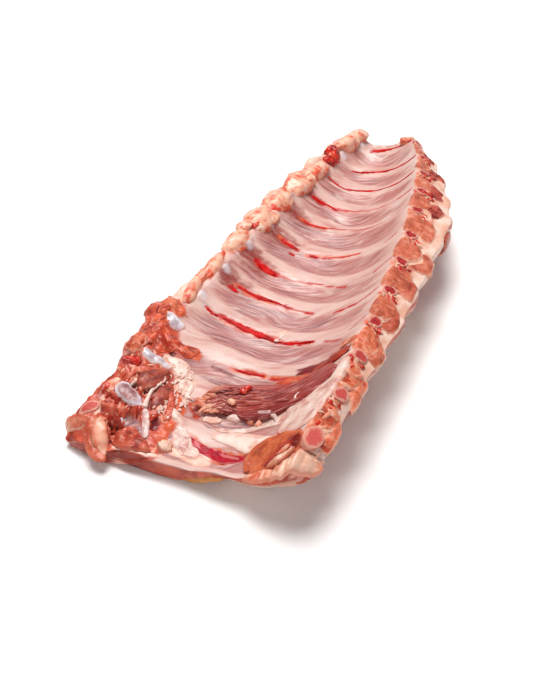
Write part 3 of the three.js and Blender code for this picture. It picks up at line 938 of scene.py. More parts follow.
# Meat side: broad patches of muscle and fat.
def markMeatSide(skin):
    clouds = cloudNoise(skin.points, *skinNoise["fatPatches"]) + 0.12 * skin.fine
    cover(skin, "fat", skin.under * smoothStep(-0.12, 0.12, clouds))
    cover(skin, "flesh", skin.under * (1 - skin.masks["fat"]))
    waves = cloudNoise(skin.points, *skinNoise["bellyWaves"])
    relief = body["bellyDepth"] * waves + body["bellyLumpDepth"] * skin.small
    skin.relief += (skin.zone == "belly") * relief


def markStreaks(skin):
    for kind, width, line in streaks:
        away = distanceToLine(skin.x, skin.y, line) / (width * (0.9 + 0.5 * skin.ragged))
        away = away + 0.3 * skin.fine + 0.35 * skin.strand
        if kind == "bruise":
            mark = (1 - smoothStep(0.45, 1.3, away)) * skin.onTop
            mark = mark * np.clip(1.05 + 0.5 * skin.strand, 0.6, 1)
        else:
            mark = (1 - smoothStep(0.6, 1.0, away)) * skin.onTop
        cover(skin, kind, mark)
        skin.relief -= body["streakDepth"] * mark


def markForms(skin):
    for kind, halfWidth, height, line in marks:
        away = distanceToLine(skin.x, skin.y, line) / halfWidth + 0.22 * skin.ragged + 0.12 * skin.fine
        mark = (1 - smoothStep(0.8, 1.1, away)) * skin.onTop
        fade(skin, maskNames, 1 - mark)
        cover(skin, kind, mark)
        if kind in ("stain", "shade", "maroon"):
            cover(skin, "flesh", mark)
        skin.relief += height * np.sqrt(np.clip(1 - away ** 2, 0, 1)) * skin.onTop


# Moves the skin out along its normals by its relief. What lies on the table stays flat.
def raiseSkin(skin):
    relief = skin.relief * (skin.zone != "foot")
    moved = skin.points + gridNormals(skin.points) * relief[..., None]
    height = skin.points[..., 2]
    resting = skin.under & (height <= 0)
    moved[..., 2] = np.where(resting, height, np.maximum(moved[..., 2], 0))
    return moved


# Grid that closes one end of the skin between its top and its underside, pushed out a little, with
# the point numbers of the whole end.
def endGrid(moved, numbers, row, outward, total):
    size = moved.shape[1]
    top = np.arange(0, topTotal + 1)
    bottom = (size - top) % size
    across = np.linspace(0, 1, body["endRows"] + 1)[1:-1, None, None]
    grid = mix(moved[row, top[1:-1]][None], moved[row, bottom[1:-1]][None], across)
    bulge = np.sin(np.pi * across[..., 0])
    waves = cloudNoise(grid, *skinNoise["endWaves"])
    grid[..., 1] += outward * (bulge * (body["endBulge"] + waves))
    ends = np.zeros((body["endRows"] + 1, topTotal + 1), int)
    ends[0], ends[-1] = numbers[row, top], numbers[row, bottom]
    ends[:, 0], ends[:, -1] = numbers[row, 0], numbers[row, topTotal]
    ends[1:-1, 1:-1] = total + np.arange(grid[..., 0].size).reshape(grid.shape[:2])
    return grid.reshape(-1, 3), ends


# Makes the whole body, and gives the points of its top.
def makeBody():
    skin = layOutSkin()
    for form in (markMembrane, markRibHeads, markSpineEdge, markCutMuscle, markSawnFace, markMeatSide,
                 markStreaks, markForms):
        form(skin)
    moved = raiseSkin(skin)
    rows, size = skin.x.shape
    numbers = np.arange(rows * size).reshape(rows, size)
    faces = gridFaces(np.concatenate([numbers, numbers[:, :1]], 1))
    points, flows = [moved.reshape(-1, 3)], [skin.flow.reshape(-1, 2)]
    masks = {name: [values.ravel()] for name, values in skin.masks.items()}
    for row, outward in ((0, -1), (rows - 1, 1)):
        flat, ends = endGrid(moved, numbers, row, outward, sum(map(len, points)))
        faces += gridFaces(ends if outward > 0 else ends[:, ::-1])
        points.append(flat)
        flows.append(flat[:, [0, 2]])
        fatty = smoothStep(0.3, 0.6, cloudNoise(flat, *skinNoise["endFat"]))
        # Darker towards the spine edge of each end: painted shade, laid with the maroon mask.
        dark = smoothStep(-20, -50, flat[:, 0]) * (1 - fatty)
        shares = {"flesh": 1 - fatty, "fat": fatty, "stain": 0.25, "maroon": 0.5 * dark}
        for name, values in masks.items():
            values.append(np.broadcast_to(shares.get(name, 0), len(flat)))
    makePiece(
        "rack_meat", np.concatenate(points), faces, membraneMaterial,
        {name: np.concatenate(values) for name, values in masks.items()},
        np.concatenate(flows), ["meat"],
    )
    return moved[:, :topTotal + 1].reshape(-1, 3)


topPoints = makeBody()
print("meat and membrane made")


# Rib bones

# Sizes in mm, and shares of a rib's length or of its width and depth. A list goes by the rib's
# number, and its last value holds for the rest.
rib = {
    "width": 10.5, "depth": 8, "headSize": 1.3, "headLength": 0.14,
    "boneDepth": 6.4, "bareDepth": 4.5, "bareStart": 0.0, "buriedStart": 0.05, "tipLength": 0.07,
    "sawnFrom": 0.8, "sawnSize": (0.92, 1.25), "firstSawnSize": (1.5, 1.5),
    "sawnProud": [2.4, 1.6, 1.4, 0.8], "uneven": [0.06, 0.12], "capWobble": 0.1,
    "young": [0.85, 0.65, 0.4, 0.1],
    "sides": 28, "steps": 34, "outerRings": 4, "capRings": 7,
    "noiseSeed": 51, "edgeSeed": 71,
}


def ribValue(name, number):
    values = rib[name]
    return values[min(number, len(values) - 1)]


# Inner and outer edge of the sawn face at a rib's number or a fraction between ribs.
def sawnLine(number):
    y = np.array([np.interp(number, ribNumbers, ribY(ribNumbers))])
    rimX = readOutline("rimX", y)
    rimZ = hollowHeight(rimX, y)
    edgeX = readOutline("sawnX", y)
    rim = np.array([rimX[0], y[0] + slant(rimX, y)[0], rimZ[0]])
    edge = np.array([edgeX[0], y[0] + slant(edgeX, y)[0], rimZ[0] - rack["sawnEdgeDrop"]])
    return rim, edge


# Points of the hollow over a rib at shares of its length, with the directions along it and down.
def ribLine(number, share):
    y = np.full_like(share, ribY(number))
    x, nextX = hollowX(share, y), hollowX(share + 0.01, y)
    z = hollowHeight(x, y)
    along = unit(np.concatenate([nextX - x, hollowHeight(nextX, y) - z], 1))
    down = np.stack([along[:, 1], 0 * along[:, 0], -along[:, 0]], -1)
    return np.concatenate([x, y + slant(x, y), z], 1), along, down


# Rings that carry a rib's last ring on to the plane of the sawn face, rings inside it that close
# the end, and how far out each of those lies.
def sawnEnd(number, ring, along):
    rim, edge = sawnLine(number)
    before, after = (sawnLine(number + step)[0] for step in (-0.12, 0.12))
    faceUp = unit(np.cross(edge - rim, after - before))
    direction = np.array([along[0], 0, along[1]])
    gap = (ribValue("sawnProud", number) - (ring - rim) @ faceUp) / (direction @ faceUp)
    last = ring + gap[:, None] * direction
    outer = mix(ring, last, np.linspace(0.25, 1, rib["outerRings"])[:, None, None])
    centre = last.mean(0)
    radial = np.sqrt(np.linspace(1, 0, rib["capRings"] + 1)[1:])
    cap = centre + (last - centre) * radial[:, None, None]
    wobble = 1 + rib["capWobble"] * softNoise(cap, 3.0, rib["noiseSeed"] + number)[..., None]
    return outer, centre + (cap - centre) * wobble, radial


# A rib is rings round a line that runs a fixed depth under the hollow, thicker at its head and at
# its sawn end.
def makeRib(number):
    bare = number < rack["bareHeads"]
    way = np.linspace(0, 1, rib["steps"])[:, None]
    share = mix(rib["bareStart"] if bare else rib["buriedStart"], 1.0, way)
    line, along, down = ribLine(number, share)
    head = 1 - smoothStep(0, rib["headLength"], share)
    middle = line + down * (mix(rib["boneDepth"], rib["bareDepth"], head) if bare else rib["boneDepth"])
    sawn = smoothStep(rib["sawnFrom"], 1, share)
    wide, deep = (
        mix(mix(1, size, sawn), rib["headSize"], head) * roundEnd(way, rib["tipLength"], 0.004)
        for size in rib["firstSawnSize" if number == 0 else "sawnSize"]
    )
    angle = np.linspace(0, 2 * np.pi, rib["sides"], endpoint=False)
    circle = np.stack([np.cos(angle), np.sin(angle)], -1)
    noise = softNoise(circle, 0.9, rib["noiseSeed"] + number)
    uneven = 1 + ribValue("uneven", number) * sawn * noise
    height = rib["depth"] / 2 * deep * uneven * np.sin(angle)
    ring = middle[:, None] - down[:, None] * height[..., None]
    ring[..., 1] += rib["width"] / 2 * wide * uneven * np.cos(angle)

    outer, cap, radial = sawnEnd(number, ring[-1], along[-1])
    rings = np.concatenate([ring, outer, cap], 0)
    points, faces, kept = closedSkin(rings)
    radial = np.concatenate([np.full(rib["steps"] + rib["outerRings"], 1.2), radial])
    edgeNoise = 0.16 * softNoise(rings, 1.6, rib["edgeSeed"] + number)
    marrow = 1 - smoothStep(0.62, 0.92, radial[:, None] + edgeNoise)
    headMask = np.zeros(rings.shape[:2])
    headMask[:rib["steps"]] = smoothStep(0, 0.5, head)
    flow = np.stack(np.meshgrid(np.arange(len(rings)) * 3.0, angle * 4, indexing="ij"), -1)
    masks = {
        "marrow": marrow.ravel()[kept], "head": headMask.ravel()[kept],
        "young": ribValue("young", number) + 0 * kept,
    }
    makePiece(
        f"rib_bone_{number + 1:02d}", points, faces, boneMaterial, masks,
        flow.reshape(-1, 2)[kept], [f"rib_{number + 1:02d}"],
    )


for number in range(rack["ribCount"]):
    makeRib(number)
print("rib bones made")


# Skirt muscle

# Sizes in mm, and its line in x and y.
skirt = {
    "line": [(-26, -166), (-10, -156), (10, -153), (27, -151), (44, -143), (58, -134)],
    "width": 33, "thickness": 5, "rim": 0.8, "tip": 0.02, "lift": 1, "footLift": 0.2,
    "steps": 90, "across": 44, "raggedEdge": 1.6,
    "fibreDepth": 0.9, "fibreSize": (26, 2.6), "pale": 0.6,
}


def surfacePoint(x, y):
    return np.stack([x, y, hollowHeight(x, y - slant(x, y))], -1)


# A slab on the membrane: across its middle line the top swells as the root of a sine, and fibres
# raise it in ridges along the line.
def makeSkirt():
    line = curveThrough(skirt["line"], 400, True)
    share = mix(skirt["tip"], 1 - skirt["tip"], np.linspace(0, 1, skirt["steps"]))
    middle, run = pointsAlong(line, share)
    along = unit(np.gradient(middle, axis=0))
    fullness = np.sin(np.pi * share) ** 0.5
    across = np.linspace(0.5, -0.5, skirt["across"])
    offsetBy = across[None, :] * skirt["width"] * fullness[:, None]
    x = middle[:, :1] - along[:, 1:] * offsetBy
    y = middle[:, 1:] + along[:, :1] * offsetBy
    place = np.stack([share[:, None] * 40 + 0 * x, 0 * x, across * 3 + 0 * x], -1)
    ragged = softNoise(place, (5, 5, 2), 61)
    y = y + skirt["raggedEdge"] * ragged * np.sign(across) * smoothStep(0.25, 0.5, np.abs(across))
    foot = surfacePoint(x, y)
    up = unit(np.cross(surfacePoint(x + 1, y) - foot, surfacePoint(x, y + 1) - foot))
    swell = np.sqrt(np.clip(np.cos(np.pi * across), 0, 1))[None, :] * fullness[:, None]
    flow = np.stack([run[:, None] + 0 * x, offsetBy], -1)
    fibre = softNoise(flow, skirt["fibreSize"], 63)
    thick = mix(skirt["rim"], skirt["thickness"], swell) + skirt["fibreDepth"] * fibre * swell
    top = foot + up * (skirt["lift"] + thick)[..., None]
    bottom = foot + up * (skirt["lift"] * skirt["footLift"])
    rings = np.concatenate([top, bottom[:, ::-1]], 1)
    flow = np.concatenate([flow, flow[:, ::-1]], 1)
    rings, flow = (np.concatenate([grid[:1], grid, grid[-1:]]) for grid in (rings, flow))
    points, faces, kept = closedSkin(rings)
    pale = smoothStep(16, 4, points[:, 0] + 25) * skirt["pale"]
    makePiece(
        "skirt_muscle_piece", points, faces, skirtMaterial, {"pale": pale},
        flow.reshape(-1, 2)[kept], ["skirt_muscle"],
    )


makeSkirt()
print("skirt muscle made")


# Loose forms on the rack

# Each look: its material's name, the colours named in lookColours, and the values named in
# lookValues. Some have a core colour or a shine too.
lookColours = ["rim", "low", "high", "seam"]
lookValues = ["seamShare", "fibre", "fleck", "roughness", "glow", "wet", "bump"]
looks = {
    # Lean pork, cut across or torn: salmon red and wet, in fibres, with thin pale seams.
    "lean": ("raw lean pork", "c8634a cc5036 982a1c e79f86", 0.5, 1.4, 2.5, 0.25, 0.12, 0.55, 1.0),
    # Muscle between the ribs, sawn across: salmon brown with fine flecks of fat.
    "slice": ("sawn rib muscle", "e8b8a0 ca6447 aa4c32 f0bea6", 0.48, 1.3, 1.7, 0.38, 0.12, 0.2, 0.4),
    # The outer sheet of the same muscle, darker.
    "crescent": ("sawn outer rib muscle", "dea48c c0563c 963624 dc9276",
                 0.4, 1.5, 1.8, 0.36, 0.12, 0.25, 0.6),
    # The same sheet towards the shoulder end, where it is mauve.
    "farCrescent": ("sawn shoulder muscle", "d49a88 ac4638 741c18 d89080",
                    0.4, 1.5, 1.8, 0.5, 0.06, 0.05, 0.6, {"shine": 0.2}),
    # Dark lean muscle, glossy and almost smooth; also laid over hollows as painted shade.
    "deepLean": ("raw dark lean pork", "a83a26 b03018 7a180e d4735a", 0.4, 1.8, 3, 0.24, 0.12, 0.45, 0.5),
    # Lean pork that has dried a little: orange brown, in fibres that catch the light.
    "amberLean": ("dried lean pork", "d06a48 d0643c b44a2a e09a76", 0.4, 1.1, 2.5, 0.34, 0.14, 0.3, 0.8),
    # Thin muscle of the flap over the diaphragm: salmon, in coarse fibres, with pale sinew.
    "flapLean": ("raw flap muscle", "d8603e d85434 a43822 eca88c", 0.65, 1.6, 2.5, 0.3, 0.14, 0.35, 0.9),
    # Muscle and sinew at the loin end of the sawn side: orange pink, in coarse fibres.
    "warmLean": ("warm rib muscle", "e8b094 d86c4a b24028 efb69a", 0.6, 1.8, 1.8, 0.32, 0.15, 0.35, 0.8),
    # Fat and sinew stained by the meat: peach to orange, glossy.
    "peach": ("stained pork fat", "d87850 eaa88c d3684a f4ccb6", 0.6, 2.5, 3, 0.32, 0.2, 0.3, 0.5),
    # Dark muscle of the diaphragm.
    "darkLean": ("raw diaphragm muscle", "a04a3c ac4a3e 7e2e2a d8988a",
                 0.5, 1.4, 2.5, 0.32, 0.12, 0.35, 0.7),
    # Soft back fat: cream to peach, waxy, slightly lumpy.
    "fat": ("raw pork fat", "e6bcae f2d2c6 e2ad9d f6dfd4", 0.5, 5, 4, 0.42, 0.2, 0.15, 0.4),
    # Ends of the vertebrae: peach gristle and fat with orange blotches.
    "knuckle": ("raw vertebra gristle", "e0805a efb89c d9583a f8e0d2",
                0.6, 6, 2.6, 0.34, 0.2, 0.3, 0.6, {"core": "d8301c"}),
    # Rib membrane that has come away from the meat: pinkish cream, thin, drawn in fine lines.
    "membrane": ("loose rib membrane", "dba698 e4c4b8 c98f84 f2ded6", 0.7, 2.2, 3, 0.36, 0.15, 0.25, 0.5),
    # Tendon and gristle: greyish pink and glossy.
    "gristle": ("raw tendon", "cc9a92 d2aea8 b88682 ead6d2", 0.6, 2, 2.5, 0.28, 0.2, 0.3, 0.5),
    # Cartilage over the rib heads: bluish white, smooth and glossy.
    "cup": ("rib head cup cartilage", "efe8ee d6c6cc b89498 e6dade",
            0.5, 4, 5, 0.36, 0.15, 0.15, 0.3, {"core": "965450"}),
    "cartilage": ("rib head cartilage", "dc9c88 e4dfe6 bca6b0 f4f2f6", 0.5, 4, 5, 0.22, 0.2, 0.45, 0.15),
    # Corner of the spine muscle: brick pink with a pale orange edge.
    "corner": ("raw corner muscle", "eeb898 d0694e b84a34 e6a68c", 0.5, 2.2, 3, 0.32, 0.15, 0.3, 0.7),
    # Fat on the loin end, tinted by the meat: peach to pink, lumpy and translucent.
    "tintedFat": ("tinted pork fat", "d98468 e8b8a0 d07e62 f3d9cb", 0.6, 4, 3, 0.34, 0.22, 0.25, 0.6),
    # Deeper muscle of the back, mauve where it has met the air, in coarse fibres.
    "mauveLean": ("raw back muscle", "b04a36 b04a36 7c2820 d2907c", 0.4, 1.3, 2, 0.32, 0.12, 0.3, 0.9),
    # Sheet under the loin end's thin flap, painted amber as the light glowing through and off the meat
    # there.
    "amberSkin": ("amber membrane skin", "d08a44 e09a50 c47c38 efc084", 0.4, 3, 3, 0.3, 0.2, 0.3, 0.3),
    # Blood along the ribs: saturated red, thin and wet.
    "blood": ("fresh blood", "b00a0c c8080a 980406 d8301c",
              0.3, 2.5, 2.2, 0.45, 0.02, 0.0, 0.3, {"shine": 0.15}),
    # Blood pooled under the membrane: crimson, veiled in pink.
    "pool": ("pooled blood", "d27876 be1a2e 8e0e26 dc7076", 0.45, 2.5, 2.6, 0.3, 0.06, 0.3, 0.4),
    # Fresh blood set on the meat: bright red, smooth and wet.
    "clot": ("fresh blood clot", "c03a24 cc2216 8e0c0c ea7048", 0.7, 2.5, 2.2, 0.2, 0.1, 0.5, 0.6),
}


# The values of a look, by name.
def readLook(key):
    _, codes, *values = looks[key]
    others = values.pop() if isinstance(values[-1], dict) else {}
    return dict(zip(lookColours + lookValues, codes.split() + values), **others)


# Raw meat, fat or gristle: from its high to its low colour in clouds, with pale seams along the fibres,
# pale flecks, and its rim in another colour. It follows the ridge mask too: darker in creases as painted
# shade, pale on crests as a painted highlight.
def makeRawMaterial(key):
    look = linearLook(readLook(key))
    material, tree = newMaterial(looks[key][0])
    flat, solid = addNode(tree, "UVMap", uv_map="flow"), mmPlaces(tree)
    masks = readMasks(tree, ["ridge", "rim"])
    clouds = addPattern(tree, solid, (9, 9, 9), detail=4)
    fibres = addPattern(tree, flat, (look["fibre"] * 6, look["fibre"], 1), detail=4, distortion=0.8)
    mottle = addPattern(tree, solid, (look["fleck"],) * 3, detail=4)
    toneAndRidgeShading = addNode(tree, "Math", (masks["ridge"], 0.22), **times)
    toneAndRidgeShading = addNode(tree, "Math", (clouds, toneAndRidgeShading), **plus)
    share = addNode(tree, "MapRange", (toneAndRidgeShading, 0.32, 0.62), **smooth)
    colour = addNode(tree, "Mix", {0: share, 6: look["high"], 7: look["low"]}, **layer)
    # Seam colour on the crests: a painted highlight.
    pale = addNode(tree, "MapRange", (toneAndRidgeShading, 0.62, 0.84, 0, look["seamShare"]), **smooth)
    lines = addNode(tree, "MapRange", (fibres, 0.54, 0.72, 0, look["seamShare"]), **smooth)
    seams = addNode(tree, "Math", (pale, lines), **larger)
    flecks = addNode(tree, "MapRange", (mottle, 0.58, 0.74, 0, look["seamShare"]), **smooth)
    for share in (seams, flecks):
        colour = addNode(tree, "Mix", {0: share, 6: colour, 7: look["seam"]}, **layer)
    if "core" in look:
        marrow = readMasks(tree, ["marrow"])["marrow"]
        colour = layPattern(tree, colour, look["core"], fibres, (0.3, 0.6, 0.95, 0.6), marrow)
    share = addNode(tree, "Math", (masks["rim"], 0.8), **times)
    colour = addNode(tree, "Mix", {0: share, 6: colour, 7: look["rim"]}, **layer)
    height = addNode(tree, "Math", (mottle, 0.5), **times)
    finishWet(tree, colour, addNode(tree, "Math", (fibres, height), **plus), look)
    return material


rawMaterials = {key: makeRawMaterial(key) for key in looks}
rawMaterials["bone"] = boneMaterial

# First seed of the noise in each kind of loose piece.
seeds = {"pad": 70, "strap": 110, "sawnMuscle": 140, "lump": 170, "shreds": 210, "blood": 240}


def makeLoose(name, key, points, faces, masks, flow):
    makePiece(name, points, faces, rawMaterials[key], masks, flow)


# A map of the rack's top: its cells and its margin in mm, and how many cells deep it fills.
heightMap = {"cell": 1.5, "margin": 12, "fillRounds": 14}


# Sum over the four neighbours of each cell, for a raster with a border of one cell.
def sumAround(padded):
    return sum(np.roll(padded, step, (0, 1)) for step in ((1, 0), (-1, 0), (0, 1), (0, -1)))[1:-1, 1:-1]


# Height of the rack's top over x and y, as the mean of its points in each cell of a raster. Empty
# cells take the mean of their neighbours.
def readHeights():
    cell, margin = heightMap["cell"], heightMap["margin"]
    start = topPoints[:, :2].min(0) - margin
    size = np.ceil((topPoints[:, :2].max(0) + margin - start) / cell).astype(int) + 1
    at = np.floor((topPoints[:, :2] - start) / cell).astype(int)
    flat = at[:, 0] * size[1] + at[:, 1]
    count = np.bincount(flat, minlength=size.prod()).reshape(size).astype(float)
    total = np.bincount(flat, topPoints[:, 2], minlength=size.prod()).reshape(size)
    heights = total / np.maximum(count, 1)
    filled = count > 0
    for _ in range(heightMap["fillRounds"]):
        around = sumAround(np.pad(filled.astype(float), 1))
        mean = sumAround(np.pad(heights * filled, 1)) / np.maximum(around, 1)
        new = ~filled & (around > 0)
        heights[new] = mean[new]
        filled |= new
    return start, heights


mapStart, mapHeights = readHeights()


def heightAt(x, y):
    at = (np.stack([x, y], -1) - mapStart) / heightMap["cell"] - 0.5
    at = np.clip(at, 0, np.array(mapHeights.shape) - 1.001)
    i, j = at[..., 0].astype(int), at[..., 1].astype(int)
    u, w = at[..., 0] - i, at[..., 1] - j
    near = mix(mapHeights[i, j], mapHeights[i + 1, j], u)
    return mix(near, mix(mapHeights[i, j + 1], mapHeights[i + 1, j + 1], u), w)


# Numbers of points in a pad, how deep its foot sinks into the rack in mm, how ragged its outline is
# in broad and fine steps, how rough its top is in ridges, clouds and grains, the depth and size of
# whorls in mm, where its rim's colour starts, and how young bone in it is.
padForm = {
    "around": 96, "rings": 22, "sink": 1.6, "ragged": (0.09, 0.05), "rough": (0.45, 0.4, 0.2),
    "whorlDepth": 0.8, "whorlSize": 2.6, "rimStart": 0.84, "young": 0.7,
}

# Where the rim's colour starts on the pads with a broad rim, as a share of the way out.
rimStarts = {"cup": 0.66, "cartilage": 0.66}

# Middles that the fibres of some pads run round, and the depth of a hollow in some.
whorls = {"near_muscle": (60, -222)}
bowls = {"rib_head_1": 1.7}


# A smooth closed line through an outline, made ragged by noise on its distance from its middle.
def raggedLoop(outline, lumps, seed):
    each = padForm["around"] // len(outline)
    loop = curveThrough(outline * 3, (3 * len(outline) - 1) * each)
    loop = loop[len(outline) * each:2 * len(outline) * each]
    centre = loop.mean(0)
    turn = np.linspace(0, 2 * np.pi, len(loop), endpoint=False)
    circle = np.stack([np.cos(turn), np.sin(turn)], -1) * 2.2
    broad, fine = padForm["ragged"]
    ragged = broad * cloudNoise(circle, 0.7, seed) + fine * softNoise(circle, 0.22, seed + 1)
    return centre, centre + (loop - centre) * (1 + lumps * ragged[:, None])


# A pad on the rack: inside its outline it rises as a rounded step from its edge to its middle. The
# higher the power, the flatter its top.
def makePad(name, key, rise, edge, lumps, outline, seed, power=2.4):
    whorl = whorls.get(name)
    centre, loop = raggedLoop(outline, lumps, seed)
    r = np.linspace(1, 0, padForm["rings"])[:, None] ** 0.8
    flat = centre + (loop - centre)[None] * r[..., None]
    bowl = bowls.get(name, 0) * (1 - smoothStep(0.3, 0.8, r))
    swell = edge + (rise - edge) * (1 - r ** power) ** 0.75 - bowl
    place = np.concatenate([flat, 0 * flat[..., :1]], -1)
    ridge = ridges(place, (7, 9, 9), seed)
    ridged, cloudy, grainy = padForm["rough"]
    clouds, grains = cloudNoise(place, 6, seed), cloudNoise(place, 2.2, seed + 3)
    rough = lumps * (ridged * ridge + cloudy * clouds + grainy * grains)
    if whorl:
        turned = flat - whorl
        arc = np.hypot(turned[..., 0], turned[..., 1])
        rough = rough + padForm["whorlDepth"] * softNoise(arc[..., None], padForm["whorlSize"], seed)
    top = heightAt(flat[..., 0], flat[..., 1]) + swell + rough * smoothStep(1.02, 0.8, r)
    base = heightAt(loop[:, 0], loop[:, 1]) - padForm["sink"]
    rings = np.concatenate([
        np.broadcast_to(np.append(centre, base.mean()), (1, len(loop), 3)),
        np.concatenate([loop, base[:, None]], 1)[None],
        np.concatenate([flat, top[..., None]], -1),
    ])
    points, faces, kept = closedSkin(rings)
    radial = np.concatenate([[1, 1], r[:, 0]])[:, None] + 0 * rings[..., 0]
    ridge = np.concatenate([ridge[:1], ridge[:1], ridge])
    rimStart = rimStarts.get(key, padForm["rimStart"])
    masks = {
        "marrow": (1 - smoothStep(0.6, 0.86, radial)).ravel()[kept],
        "head": 0 * kept, "young": padForm["young"] + 0 * kept,
        "ridge": ridge.ravel()[kept],
        "rim": smoothStep(rimStart, 1.0, radial + 0.06 * ridge).ravel()[kept],
    }
    flow = points[:, :2]
    if whorl:
        away = flow - whorl
        reach = np.hypot(away[:, 0], away[:, 1])
        flow = np.stack([np.arctan2(away[:, 1], away[:, 0]) * reach.mean(), reach], -1)
    makeLoose(name, key, points, faces, masks, flow)


# Numbers of points in a strap: how many go round it, the step along it in mm, and the fewest steps.
# It tilts with the rack up to the steepest slope.
strapForm = {"around": 20, "step": 0.9, "fewest": 14, "steepest": 1.2}


# A strap of muscle, tendon or fat along a path of x, y and height over the rack. Its section is an
# ellipse, whose width and thickness run through the given values and round off at both ends.
def strapShape(widths, thicknesses, fibre, path, seed):
    line = curveThrough(path, 300, True)
    length = measureRun(line)[-1]
    count = max(int(length / strapForm["step"]), strapForm["fewest"])
    share = 0.5 - 0.5 * np.cos(np.linspace(0, np.pi, count))
    middle, run = pointsAlong(line, share)
    middle[:, 2] += heightAt(middle[:, 0], middle[:, 1])
    wide, thick = (
        np.interp(share, np.linspace(0, 1, len(sizes)), sizes) / 2 for sizes in (widths, thicknesses)
    )
    tip = np.minimum(wide.mean() / length * 1.2, 0.45)
    ends = roundEnd(np.minimum(share, 1 - share), tip, 0.002)
    along = unit(np.gradient(middle, axis=0))
    side = unit(np.cross((0, 0, 1), along))
    far, near = middle + side * wide[:, None], middle - side * wide[:, None]
    slope = (heightAt(far[:, 0], far[:, 1]) - heightAt(near[:, 0], near[:, 1])) / (2 * wide)
    side[:, 2] += np.clip(slope, -strapForm["steepest"], strapForm["steepest"])
    side = unit(side)
    up = np.cross(along, side)
    angle = np.linspace(0, 2 * np.pi, strapForm["around"], endpoint=False)
    flow = np.stack(np.broadcast_arrays(run[:, None], wide[:, None] * np.cos(angle)), -1)
    place = np.stack([flow[..., 0], angle * 3 + 0 * flow[..., 0]], -1)
    grow = 1 + fibre * softNoise(place, (9, 1.1), seed)
    across = (wide * ends)[:, None] * np.cos(angle) * grow
    over = (thick * ends)[:, None] * np.sin(angle) * grow
    rings = middle[:, None] + side[:, None] * across[..., None] + up[:, None] * over[..., None]
    points, faces, kept = closedSkin(rings)
    return points, faces, flow.reshape(-1, 2)[kept]


def makeStrap(name, key, widths, thicknesses, fibre, path, seed):
    points, faces, flow = strapShape(widths, thicknesses, fibre, path, seed)
    makeLoose(name, key, points, faces, {"ridge": 0.4 * np.sin(flow[:, 1])}, flow)


# Makes one piece of several shapes, each as points, faces and flat map.
def makeJoined(name, key, shapes):
    allFaces, total = [], 0
    for points, faces, _ in shapes:
        allFaces += [[number + total for number in face] for face in faces]
        total += len(points)
    points, flow = (np.concatenate([shape[part] for shape in shapes]) for part in (0, 2))
    makeLoose(name, key, points, allFaces, {}, flow)


# A shred's path, as shares of its length and heights in mm: its ends dip into the rack. Its size
# varies between the sizes, and its widths and thickness are shares of its width.
shredForm = {
    "path": [(-0.5, -0.6), (-0.17, 0.4), (0.17, 0.5), (0.5, -0.5)], "curl": 0.5,
    "sizes": (0.6, 1.4), "widths": (0.6, 1, 0.5), "thickness": 0.6, "fibre": 0.2,
}


# Torn shreds: short straps strewn over ellipses in x and y, all in one piece. Each lies within a
# spread of the main direction, and curls a little.
def makeShreds(name, key, count, middles, reach, direction, spread, length, width, lift, seed):
    chance = np.random.default_rng(seed)
    shapes = []
    for middle in middles * count:
        turn = chance.uniform(0, 2 * np.pi)
        out = math.sqrt(chance.uniform(0, 1))
        x = middle[0] + reach[0] * out * math.cos(turn)
        y = middle[1] + reach[1] * out * math.sin(turn)
        way = math.radians(direction + chance.uniform(-spread, spread))
        size = length * chance.uniform(*shredForm["sizes"])
        bend = chance.uniform(-shredForm["curl"], shredForm["curl"])
        path = []
        for step, high in shredForm["path"]:
            angle, out = way + bend * step, size * step
            path.append((x + out * math.cos(angle), y + out * math.sin(angle), lift + high))
        wide = width * chance.uniform(*shredForm["sizes"])
        widths = [wide * share for share in shredForm["widths"]]
        thickness = wide * shredForm["thickness"]
        shapes.append(strapShape(widths, [thickness] * 2, shredForm["fibre"], path, seed))
    makeJoined(name, key, shapes)


# Widths, thickness and lift of the blood in mm, and how much its width varies.
bloodForm = {
    "narrowest": 1.4, "widest": 3.2, "widen": 1.8, "uneven": (0.35, 1.15), "thickness": 0.7, "lift": 0.12,
    "stations": 9, "fibre": 0.25, "chance": 5, "seedRound": 97,
}


# Blood along the ribs: a strap of uneven width for each streak that is wide enough, in one piece.
def makeBlood():
    chance = np.random.default_rng(bloodForm["chance"])
    stations = bloodForm["stations"]
    taper = np.sin(np.pi * np.linspace(0.04, 0.96, stations)) ** 0.6
    shapes = []
    for kind, width, line in streaks:
        if kind != "blood" or width < bloodForm["narrowest"]:
            continue
        uneven = chance.uniform(*bloodForm["uneven"], stations)
        widths = bloodForm["widen"] * min(width, bloodForm["widest"]) * taper * uneven
        path = [(x, y, bloodForm["lift"]) for x, y in curveThrough(line, stations, True)]
        seed = seeds["blood"] + sum(len(points) for points, _, _ in shapes) % bloodForm["seedRound"]
        shapes.append(strapShape(widths, [bloodForm["thickness"]] * 2, bloodForm["fibre"], path, seed))
    makeJoined("blood_streaks", "blood", shapes)


# Numbers of points in a lump, how blunt its ends are, how uneven it is in broad and fine steps, and
# the lowest it may reach in mm.
lumpForm = {"steps": 24, "around": 36, "bluntness": 0.75, "cloud": 0.22, "grain": 0.06, "lowest": 0.3}


